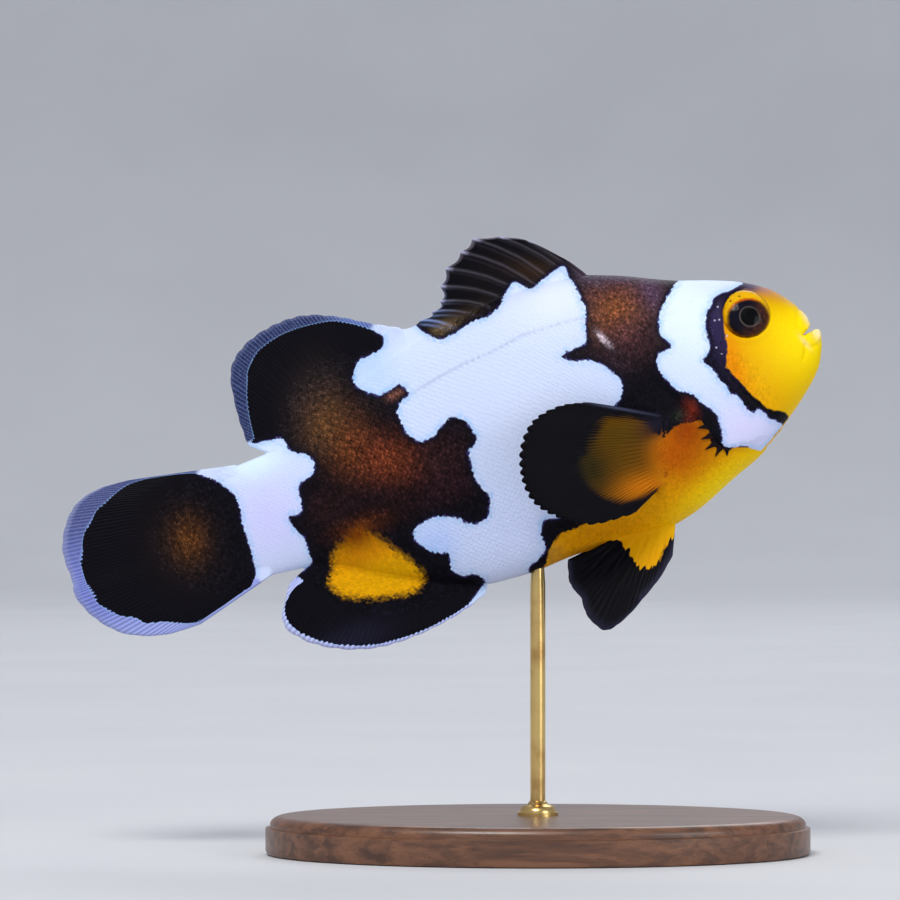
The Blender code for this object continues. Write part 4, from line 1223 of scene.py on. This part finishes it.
def joined(base, others):
    """One closed mesh from a base and the others, each added to it or cut out of it."""
    made = add_object("skin_parts", base)
    helpers = [made]
    for name, mesh, operation in others:
        helpers.append(add_object(name, mesh))
        step = made.modifiers.new(name, "BOOLEAN")
        step.object, step.operation, step.solver = helpers[-1], operation, "MANIFOLD"
    graph = bpy.context.evaluated_depsgraph_get()
    mesh = bpy.data.meshes.new_from_object(made.evaluated_get(graph))
    for helper in helpers:
        bpy.data.objects.remove(helper)
    return mesh


def mouth_mesh():
    """The wedge between the lips."""
    outline = rounded(MOUTH, 3)
    count = len(outline)
    points = [np.column_stack([outline, np.full(count, w)]) for w in (-6.0, 6.0)]
    corners, sizes = tube(2, count)
    return of_part(facing_out(new_mesh("mouth", np.concatenate(points), corners, sizes)), MOUTH_INSIDE)


def softened(points, edges, seeds, rings=4, rounds=14):
    """The points, smoothed near the seeds, where parts were joined."""
    count = len(points)
    degree = np.bincount(edges.ravel(), minlength=count)[:, None]

    def averaged(values):
        total = np.zeros_like(values)
        for column in range(values.shape[1]):
            total[:, column] = np.bincount(edges[:, 0], values[edges[:, 1], column], count)
            total[:, column] += np.bincount(edges[:, 1], values[edges[:, 0], column], count)
        return total / np.maximum(degree, 1)

    weight = seeds.astype(float)[:, None]
    for _ in range(rings):
        weight = np.maximum(weight * 0.98, averaged(weight) * 1.25)
    weight = np.clip(weight, 0, 1)
    weight[weight < 0.02] = 0
    for _ in range(rounds):
        points = points + 0.5 * weight * (averaged(points) - points)
    return points


def make_skin(material):
    """The whole fish but its eyes and scales, as one closed mesh. Gives the surface back for the scales."""
    others = [(name, fin.mesh(name), "UNION") for name, fin in FINS.items()]
    mesh = joined(body_mesh(), [*others, ("mouth", mouth_mesh(), "DIFFERENCE")])
    points = places(mesh)
    part, crest, reach = (held(mesh, name) for name in ("part", "crest", "reach"))
    edges = np.empty(len(mesh.edges) * 2, np.int32)
    mesh.edges.foreach_get("vertices", edges)
    edges = edges.reshape(-1, 2)
    new = part == 0
    crest[new] = 0.7
    part = np.where(new, BODY, np.round(part))
    at_mouth = new & (points[:, 0] < 3)
    points = softened(points, edges, new & ~at_mouth, rings=2, rounds=7)
    points = softened(points, edges, at_mouth, rings=2, rounds=5)
    for name, values in painted(points, part, crest, reach).items():
        give(mesh, name, values)
    give(mesh, "place", points)
    skin_tree = BVHTree.FromPolygons(points.tolist(), [tuple(face.vertices) for face in mesh.polygons])
    for name in ("part", "crest", "reach"):
        mesh.attributes.remove(mesh.attributes[name])
    mesh.vertices.foreach_set("co", posed(points).astype(np.float32).ravel())
    mesh.update()
    mesh.shade_smooth()
    skin = add_object("skin", mesh, material)
    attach(skin, "root")
    nodes = [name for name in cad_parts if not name.startswith(("eye", "stand"))]
    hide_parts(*nodes)
    return skin_tree


# ---- Scales ----


class Surface:
    """Points and normals over an even grid of two numbers."""

    def __init__(self, points, first, second, normals=None):
        self.points, self.first, self.second = points, first, second
        self.normals = normals_of(points) if normals is None else normals

    def at(self, a, b):
        x = (a - self.first[0]) / (self.first[1] - self.first[0])
        y = (b - self.second[0]) / (self.second[1] - self.second[0])
        return blended(self.points, x, y), unit(blended(self.normals, x, y))


def flank_surface():
    """The left flank over u and over the length round it from its widest height, and that length's limits."""
    us, around = np.arange(3.0, 67.01, 0.25), np.arange(-25.0, 25.01, 0.2)
    raw = flank_points(us, 201)
    rows, limits = [], []
    for u, row, length in zip(us, raw, lengths_along(raw)):
        bottom, top = belly(u), back(u)
        widest = np.interp(bottom + widest_share(u) * (top - bottom), row[:, 1], length)
        rows.append(resampled(around + widest, length, row))
        limits.append((-widest, length[-1] - widest))
    points, (low, high) = np.stack(rows), np.array(limits).T
    for _ in range(3):
        points[1:-1] = (points[:-2] + 2 * points[1:-1] + points[2:]) / 4
        points[:, 1:-1] = (points[:, :-2] + 2 * points[:, 1:-1] + points[:, 2:]) / 4
    normals = normals_of(points)
    for i, inside in enumerate((around >= low[:, None]) & (around <= high[:, None])):
        first, last = np.flatnonzero(inside)[[0, -1]]
        normals[i, : first + 1] = normals[i, first + 1]
        normals[i, last:] = normals[i, last - 1]
    return Surface(points, us, around, normals), low, high


# One scale, seen from above: along from its root to its rear edge, across, and height, all for a pitch of 1
# but the heights. The top is a fan of three rows, and a skirt and a floor close it.
SCALE_ROWS = [  # along at the middle, how far the row bows back at its sides, half width, height, crown
    (-0.50, 0.00, 0.36, -0.060, 0.000),
    (0.20, 0.15, 0.53, 0.012, 0.006),
    (0.60, 0.40, 0.34, 0.016, 0.002),
]
SCALE_COLUMNS = np.array([-1.0, -0.55, 0.0, 0.55, 1.0])
SCALE_THICKNESS, SKIRT_FLARE = 0.05, 1.28
FOLD_LIMIT = 0.8  # a scale is left out where the skin under it turns by more than this cosine
HALF_PATCH = 0.0015  # of a scale on the map OFBake
ROWS_APART = 0.94  # how far apart the rows are, of the pitch along them
HEAD_PITCH, FIN_PITCH = 0.44, 0.44
body_pitch = through([(11.0, 0.45), (19.0, 0.47), (30.0, 0.63), (38.0, 0.62), (52.0, 0.50), (66.0, 0.42)])


def scale_template():
    """One scale's points as (along, across, height, how near the rim), its faces, its floor's border, and how
    many of the faces are on top."""
    top = np.array([
        (along - bow * x * x, wide * x, height + crown * (1 - x * x),
         max(abs(x) ** 3, smoothstep(0.30, 0.62, along)))
        for along, bow, wide, height, crown in SCALE_ROWS for x in SCALE_COLUMNS
    ])
    grid = np.arange(len(top)).reshape(len(SCALE_ROWS), -1)
    border = np.concatenate([grid[0], grid[1:, -1], grid[-1, -2::-1], grid[-2:0:-1, 0]])
    under = (top[border] - [0, 0, SCALE_THICKNESS, 0]) * [SKIRT_FLARE, SKIRT_FLARE, 1, 1]
    below = np.arange(len(border)) + len(top)
    upper = strips(grid)
    faces = np.concatenate([upper, quads_between(below, border, closed=True)])
    return np.vstack([top, under]), faces, below, len(upper)


def lay_scales(surface, sites, pitch, lean, skin_tree, turn_out, stretches):
    """The scales' points, their roots and their sites. Where the skin rises from the smooth surface, to a fin
    or a lip, the scales lie on the skin itself, but for those it would fold or bury."""
    template = scale_template()[0]
    roots, _ = surface.at(*sites.T)
    risen, far = rise_of(skin_tree, roots)
    pitch, lean = (np.broadcast_to(value, len(sites))[~far] for value in (pitch, lean))
    sites, roots, risen = sites[~far], roots[~far], risen[~far]
    count = len(sites)
    size = pitch * np.clip(RNG.normal(1.0, 0.06, count), 0.86, 1.14)
    skew = lean + RNG.normal(0.0, 0.09, count)
    along = template[:, 0] * size[:, None]
    across = template[:, 1] * 1.02 * size[:, None] + along * skew[:, None]
    height = template[:, 2] * (0.30 + 1.05 * pitch)[:, None]
    per_a, per_b = stretches(*sites.T) if stretches else np.ones((2, count))
    a, b = sites.T[..., None]
    points, normals = surface.at(a + along / per_a[:, None], b + across / per_b[:, None])
    normals = normals * turn_out
    flat = np.ones(count, bool)
    for i in np.flatnonzero(risen):
        for k, point in enumerate(points[i]):
            points[i, k], normals[i, k] = skin_tree.find_nearest(point)[:2]
        flat[i] = (normals[i] @ unit(normals[i].mean(axis=0))).min() > FOLD_LIMIT
    return (points + normals * height[..., None])[flat], roots[flat], sites[flat]


def make_scales(name, surface, sites, pitch, material, unwrap, skin_tree, mirror=False, turn_out=1.0,
                stretches=None, part=BODY, lean=0.0, out_along_fin=0.0):
    """A coat of scales at the sites, which are rows of the surface's two numbers, with sizes for the pitch."""
    template, faces, below, top_faces = scale_template()
    points, roots, sites = lay_scales(surface, sites, pitch, lean, skin_tree, turn_out, stretches)
    if mirror:
        points, roots = points * [1, 1, -1], roots * [1, 1, -1]
    count, each = points.shape[:2]
    offsets = (np.arange(count) * each)[:, None, None]
    quads, floors = (faces + offsets).reshape(-1, 4), (below + offsets).reshape(-1, len(below))
    if mirror == (turn_out < 0):
        quads = quads[:, ::-1]
    else:
        floors = floors[:, ::-1]
    sizes = [4] * len(quads) + [len(below)] * len(floors)
    mesh = new_mesh(name, posed(points.reshape(-1, 3)), np.append(quads, floors), sizes)
    on_top = np.arange(len(quads)) % len(faces) < top_faces
    mesh.polygons.foreach_set("use_smooth", np.append(on_top, np.zeros(len(floors), bool)))
    shade = np.repeat(RNG.random(count), each)
    seen = (0.55 * points + 0.45 * roots[:, None]).reshape(-1, 3)
    whole = np.ones(len(seen))
    reach = np.repeat(out_along_fin * sites[:, 0], each)
    for key, values in painted(seen, part * whole, 0.8 * whole, reach, shade).items():
        give(mesh, key, values)
    give(mesh, "rim", np.tile(template[:, 3], count))
    give(mesh, "shade", shade)
    patch = HALF_PATCH * (template[:, :2] / [0.6, 0.5])
    give_charts(mesh, (unwrap(*sites.T)[:, None] + patch).reshape(-1, 2))
    made = add_object(name, mesh, material)
    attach(made, "root")


def rise_of(skin_tree, roots):
    """Which roots lie where the skin rises from the smooth surface, and which are too deep for a scale."""
    gaps = np.array([skin_tree.find_nearest(root)[3] for root in roots])
    return gaps > 0.035, gaps > 0.60


def lattice(first, second, pitch, jitter):
    """Staggered places over two ranges, pitch(u) apart, so that rows draw together with it."""
    columns = [first[0]]
    while columns[-1] < first[1]:
        columns.append(columns[-1] + pitch(columns[-1]) / 2)
    sites = []
    for number, u in enumerate(columns):
        step = pitch(u) * ROWS_APART
        rows = np.arange(math.floor(second[0] / step), math.ceil(second[1] / step)) + (number % 2) / 2
        sites.append(np.stack([np.full(len(rows), u), rows * step], axis=1))
    sites = np.vstack(sites)
    return sites + RNG.normal(0, jitter, sites.shape)


def behind_gills(u, v):
    """Whether each (u, v) lies behind the gill cover's edge, and not on the throat."""
    edge = np.where((v < 7.2) & (v > -8.2), gill_u(np.clip(v, -8.2, 7.2)), 0)
    return (u > edge + 0.35) & ~((v <= -8.2) & (u < 17.3 + 0.6 * v))


FACE_BARE_TO = [  # (v, u): the face has no scales ahead of this line
    (-9, 6.3), (-6, 5.9), (-3, 6.4), (0, 7.2), (2, 8.3), (3, 9.0), (7, 9.2), (9, 8.6),
]


def make_body_scales(material, skin_tree):
    """Scales on both flanks: small on the head and nape, larger behind the gills, smaller to the tail."""
    surface, low, high = flank_surface()

    def laid(stretch, pitch, jitter):
        """Sites on the flank, their u and v, and which of them are on the nape and breast."""
        sites = lattice(stretch, (-24.5, 24.5), pitch, jitter)
        lowest, highest = (np.interp(sites[:, 0], surface.first, limit) for limit in (low, high))
        sites = sites[(sites[:, 1] > lowest + 0.10) & (sites[:, 1] < highest - 0.10)]
        u, v, _ = surface.at(*sites.T)[0].T
        return sites, u, v, ((u < 15.5) & (v > 7.0)) | ((v < -6.0) & (u < 19.0))

    def unwrap(a, b):
        return np.stack([0.02 + 0.96 * (a - 3) / 64, 0.5 + 0.96 * b / 50], axis=-1)

    body, u, v, small = laid((11.0, 65.6), body_pitch, 0.045)
    keep = behind_gills(u, v) & ~small & (distance_to_line(u, v, PECTORAL_BASE) > 0.25)
    body = body[keep & ((u < 63.5) | (np.abs(v) < 4.6))]

    fine, u, v, small = laid((4.0, 19.2), lambda _: HEAD_PITCH, 0.05)
    keep = (small | ~behind_gills(u, v)) & (np.hypot(u - EYE_AT[0], v - EYE_AT[1]) > EYE_RADIUS + 1.2)
    for line, clear in ((PECTORAL_BASE, 0.25), (GILL_EDGE, 0.30), (CHEEK_EDGE, 0.2)):
        keep &= distance_to_line(u, v, line) > clear
    bare_to = np.interp(v, *np.array(FACE_BARE_TO).T) + RNG.normal(0, 0.35, len(v)) * (v < 3)
    fine = fine[keep & (u > bare_to)]

    for side, where in SIDES:
        make_scales(f"scales_head_{where}", surface, fine, HEAD_PITCH, material, unwrap, skin_tree, side < 0)
        for name, start, stop in (("front", 0, 27), ("middle", 27, 42), ("rear", 42, 70)):
            stretch = body[(body[:, 0] >= start) & (body[:, 0] < stop)]
            pitch = body_pitch(stretch[:, 0])
            lean = stretch[:, 1] * (body_pitch(stretch[:, 0] + 0.5) / pitch - 1) * 2
            make_scales(f"scales_{name}_{where}", surface, stretch, pitch, material, unwrap, skin_tree,
                        side < 0, lean=lean)


FIN_SCALES = {  # from how far out on a fin to how far
    "dorsal_spiny": (0.07, 0.18), "dorsal_soft": (0.05, 0.46), "anal": (0.05, 0.60), "caudal": (0.14, 0.56),
    "pectoral_left": (0.02, 0.12), "pectoral_right": (0.02, 0.12),
}


def make_fin_scales(material, skin_tree):
    """Small scales that run from the body out over the roots of the fins."""
    r = np.linspace(0, 1, 60)
    for name, (start, stop) in FIN_SCALES.items():
        fin = FINS[name]
        t = fin.t[:, 0]
        for way in (1, -1):
            outwards = way * fin.normal.mean(axis=(0, 1))
            side, where = SIDES[0] if outwards[2] > 0 else SIDES[1]
            if "pectoral" in name and not name.endswith(where):
                continue
            points = np.stack([resampled(r, *ray) for ray in zip(fin.r, fin.surface(way))], axis=1)
            smooth = Surface(points, r, t)

            def unwrap(a, b, side=side):
                return np.stack([0.04 + 0.92 * b, 0.5 + side * (0.04 + 0.4 * a)], axis=-1)

            made = name if name.endswith(where) else f"{name}_{where}"
            make_scales(f"scales_{made}", smooth, fin_sites(points, r, t, start, stop), FIN_PITCH, material,
                        unwrap, skin_tree, turn_out=np.sign(smooth.normals.mean(axis=(0, 1)) @ outwards),
                        stretches=fin_stretches(points), part=fin.part, out_along_fin=1.0)


def fin_stretches(points):
    """How many millimetres one unit of either of a fin's two numbers stands for, at any places on it."""
    steps = [np.linalg.norm(np.diff(points[..., :2], axis=k), axis=-1) * (points.shape[k] - 1)
             for k in (0, 1)]

    def at(a, b):
        i, j = (np.clip((x * (size - 1)).astype(int), 0, size - 2) for x, size in zip((a, b), points.shape))
        return [np.maximum(step[i, j], 1.0) for step in steps]

    return at


def fin_sites(points, r, t, start, stop):
    """Staggered places on a fin's root, a pitch apart, fewer towards their outer limit."""
    length = np.linalg.norm(np.diff(points[:, len(t) // 2, :2], axis=0), axis=-1).sum()
    lengths = lengths_along(points[..., :2])
    apart = ROWS_APART * FIN_PITCH
    sites = []
    for number, row in enumerate(np.arange(start, stop, FIN_PITCH / 2 / length)):
        along = lengths[int(row * (len(r) - 1))]
        where = np.interp(np.arange(0.3 + apart / 2 * (number % 2), along[-1] - 0.3, apart), along, t)
        limit = stop - (stop - start) * 0.55 * np.abs(2 * where - 1) ** 2
        where = where[row < limit - 0.12 * RNG.random(len(where)) ** 2]
        sites.append(np.stack([np.full(len(where), row), where], axis=1))
    return np.vstack(sites)


SPINE_RINGS, SPINE_SIDES = 7, 8


def spine_points(root, tip, side):
    """The rings of points of one gill spine, a flat cone that lies along the skin."""
    root, tip = np.array(root), np.array(tip)
    share, angle = np.meshgrid(np.linspace(0, 1, SPINE_RINGS), turns(SPINE_SIDES), indexing="ij")
    half = 0.30 * (1 - share) ** 3 + 0.18 * (1 - share) ** 0.6 + 0.02
    aside = sideways(unit(tip - root)) * (half * np.cos(angle))[..., None]
    at = root + (tip - root) * share[..., None] + aside
    lift = 0.13 + 0.05 * np.sin(angle) * (1 - 0.6 * share)
    w = side * (flank(at[..., 0], at[..., 1]) + lift)
    return np.concatenate([at, w[..., None]], axis=-1).reshape(-1, 3)


def make_gill_spines(material):
    """The dark spines on each gill cover's lower edge."""
    each = SPINE_RINGS * SPINE_SIDES
    tubes = [tube(SPINE_RINGS, SPINE_SIDES, start=k * each) for k in range(len(GILL_SPINES))]
    corners, sizes = (np.concatenate(numbers) for numbers in zip(*tubes))
    middles = [(0.1 + 0.04 * (root[0] - 8), 0.5 + 0.04 * root[1]) for root, _ in GILL_SPINES]
    circle = np.stack([np.cos(turns(SPINE_SIDES)), np.sin(turns(SPINE_SIDES))], axis=-1)
    charts = np.repeat(middles, each, axis=0) + HALF_PATCH * np.tile(circle, (SPINE_RINGS * len(middles), 1))
    for side, where in SIDES:
        points = np.vstack([spine_points(root, tip, side) for root, tip in GILL_SPINES])
        mesh = facing_out(new_mesh(f"gill_spines_{where}", posed(points), corners, sizes))
        give_charts(mesh, charts)
        made = add_object(f"gill_spines_{where}", mesh, material)
        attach(made, "root")


# ---- Eyes ----


EYEBALL, CORNEA = (2.60, 1.22), (2.66, 1.40)  # radius, and depth out from its middle
EYE_RINGS, EYE_SEGMENTS = 48, 96


def eye_dome(name, side, size, material, bulge=False):
    """A flattened ball in the socket, tilted with the head's side. place is (u, v) from its middle."""
    radius, depth = size
    p, q = np.meshgrid(np.linspace(0, math.pi, EYE_RINGS)[1:-1], turns(EYE_SEGMENTS), indexing="ij")
    wide = radius * np.sin(p)
    local = np.stack([wide * np.cos(q), wide * np.sin(q), depth * np.cos(p)], axis=-1)
    local = np.vstack([local.reshape(-1, 3), [[0, 0, depth], [0, 0, -depth]]])
    if bulge:
        away = np.hypot(local[:, 0] - PUPIL_AT[0], local[:, 1] - PUPIL_AT[1])
        lens = 0.16 * np.sqrt(np.clip(1 - (away / PUPIL_RADIUS) ** 2, 0, 1))
        dish = -0.10 * smoothstep(IRIS_RADIUS, PUPIL_RADIUS, away)
        local[:, 2] += np.where(local[:, 2] > 0, lens + dish, 0)
    tilt = Matrix.Rotation(-EYE_TILT_FORWARD, 3, "Y") @ Matrix.Rotation(-EYE_TILT_UP, 3, "X")
    points = local @ np.array(tilt).T + [*EYE_AT, EYE_OUT]
    points[:, 2] *= side
    numbers = np.arange(p.size).reshape(p.shape)
    first, last = p.size, p.size + 1
    quads = strips(numbers, closed=True)
    tips = [(first, b, a) for a, b in zip(numbers[0], np.roll(numbers[0], -1))]
    tips += [(last, a, b) for a, b in zip(numbers[-1], np.roll(numbers[-1], -1))]
    sizes = [4] * len(quads) + [3] * len(tips)
    mesh = facing_out(new_mesh(name, posed(points), np.append(quads, tips), sizes))
    give(mesh, "place", local * [1, 1, 0])
    made = add_object(name, mesh, material)
    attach(made, "root")
    return made


def make_eyes():
    ball, clear = eye_material(), cornea_material()
    for side, where in SIDES:
        made = eye_dome(f"eyeball_{where}", side, EYEBALL, ball, bulge=True)
        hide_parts(f"eye_{where}")
        eye_dome(f"cornea_{where}", side, CORNEA, clear)


# ---- The stand ----


def turned_mesh(name, profile, sides, centre=(0, 0), stretch=1.0, capped=True):
    """A turned mesh from (radius, height) points in millimetres, round a centre and stretched along X."""
    turn = turns(sides)
    rings = [np.column_stack([centre[0] + radius * stretch * np.cos(turn), centre[1] + radius * np.sin(turn),
                              np.full(sides, height)]) for radius, height in profile]
    return new_mesh(name, np.vstack(rings) * MM, *tube(len(profile), sides, capped=capped))


def lathe(name, profile, centre, sides, material, stretch=1.0):
    """A turned piece, with its hard edges kept sharp."""
    mesh = turned_mesh(name, profile, sides, centre, stretch)
    mesh.set_sharp_from_angle(angle=math.radians(50))
    return add_object(name, mesh, material)


def rounding(radius, height, out, up, steps):
    """A quarter circle of a profile, from its outer side in and up."""
    return [(radius + out * math.cos(angle), height + up * math.sin(angle)) for angle in quarter(steps)]


BASE_BEAD, BASE_STEP = 0.9, 0.30  # the rounding of the base's upper edge, and the step below it
ROD_SHARE, ROD_INTO_FISH = 0.78, 1.2  # of the solid's radius, and how far up into the belly


def make_stand():
    """The oval base with a moulded edge, and the rod with a small collar, let into the belly."""
    low, high, rod_low, rod_high = (
        np.array(corner) / MM for node in ("stand_base", "stand_rod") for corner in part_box(node))
    height = high[2] - low[2]
    half_length, half = (high[0] - low[0]) / 2, (high[1] - low[1]) / 2
    profile = [(half - 0.5, 0.0), (half - 0.12, 0.12), (half, 0.5), (half, height - BASE_BEAD - 0.35)]
    profile.append((half - BASE_STEP, height - BASE_BEAD - 0.25))
    profile += rounding(half - BASE_STEP - BASE_BEAD, height - BASE_BEAD, BASE_BEAD, BASE_BEAD, 8)
    profile.append((half - 3.0, height))
    base = lathe("base", profile, (low + high) / 2, 160, walnut_material(), half_length / half)
    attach(base, "root")
    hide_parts("stand_base")

    brass = brass_material()
    at = (rod_low + rod_high) / 2
    radius = (rod_high[0] - rod_low[0]) / 2
    top = rod_high[2] + 2 * GAP + ROD_INTO_FISH
    shaft = [(radius * ROD_SHARE, height - 1.0), (radius * ROD_SHARE, top - 2.6), (radius * 0.70, top - 1.2),
             (radius * 0.55, top)]
    collar = [(radius * 2.1, height - 0.05), (radius * 2.1, height + 0.35)]
    collar += rounding(radius * 1.15, height + 0.35, radius * 0.75, 0.75, 6)
    collar += [(radius * 0.95, height + 1.35), (radius * 0.80, height + 1.5)]
    rod = lathe("rod", shaft, at, 48, brass)
    for piece in (rod, lathe("collar", collar, at, 64, brass)):
        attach(piece, "root")
    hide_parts("stand_rod")


# ---- The studio and the camera ----


FLOOR_RADIUS, WALL_BEND, WALL_TOP = 900.0, 500.0, 1500.0
LIGHTS_AIM = Vector((0.0, 0.0, 0.045))
LIGHTS = [  # name, place, size, watts, colour
    ("key", (-0.22, -0.70, 0.85), 0.45, 8.0, (1.0, 0.99, 0.97)),
    ("fill", (0.75, -0.65, 0.25), 0.50, 2.2, (0.95, 0.97, 1.0)),
    ("rim", (0.15, 0.75, 0.70), 0.60, 2.4, (0.97, 0.98, 1.0)),
]


def make_studio():
    """A pale floor that rises into a wall all round, outside every view's camera, with soft lights inside."""
    profile = [(0.0, 0.0), (300.0, 0.0), (FLOOR_RADIUS, 0.0)]
    for angle in quarter(16)[1:]:
        profile.append((FLOOR_RADIUS + WALL_BEND * math.sin(angle), WALL_BEND * (1 - math.cos(angle))))
    profile.append((FLOOR_RADIUS + WALL_BEND, WALL_TOP))
    studio = add_object("studio", turned_mesh("studio", profile, 96, capped=False), paper_material())

    world = bpy.data.worlds.new("studio_air")
    world.use_nodes = True
    background = world.node_tree.nodes["Background"]
    background.inputs["Color"].default_value = (*linear(232, 238, 250), 1)
    background.inputs["Strength"].default_value = 0.55
    bpy.context.scene.world = world

    for name, place, size, watts, colour in LIGHTS:
        data = bpy.data.lights.new(name, "AREA")
        data.shape, data.size, data.energy, data.color = "DISK", size, watts, colour
        lamp = bpy.data.objects.new(name, data)
        lamp.location = place
        lamp.rotation_euler = (LIGHTS_AIM - Vector(place)).to_track_quat("-Z", "Y").to_euler()
        bpy.context.scene.collection.objects.link(lamp)


LENS, SENSOR, SEEN_WIDTH = 200.0, 36.0, 92.5
AIM_BACK, AIM_DOWN = 37.5, 11.5  # from the snout's middle to the picture's middle


def make_camera():
    """A level view from the fish's right, with its tail and nose near the picture's sides."""
    data = bpy.data.cameras.new("camera")
    data.lens, data.sensor_width = LENS, SENSOR
    data.clip_start, data.clip_end = 0.01, 10.0
    camera = bpy.data.objects.new("camera", data)
    away = SEEN_WIDTH * MM * LENS / SENSOR
    camera.location = (SHIFT[0] - AIM_BACK * MM, -away, SHIFT[2] - AIM_DOWN * MM)
    camera.rotation_euler = (math.pi / 2, 0, 0)
    bpy.context.scene.collection.objects.link(camera)
    bpy.context.scene.camera = camera
    bpy.context.scene.view_settings.view_transform = "Standard"


make_camera()
make_studio()
skin_tree = make_skin(skin_material("skin", scaled_skin=False))
scale_look = skin_material("scales", scaled_skin=True)
make_body_scales(scale_look, skin_tree)
make_fin_scales(scale_look, skin_tree)
make_gill_spines(spine_material())
make_eyes()
make_stand()
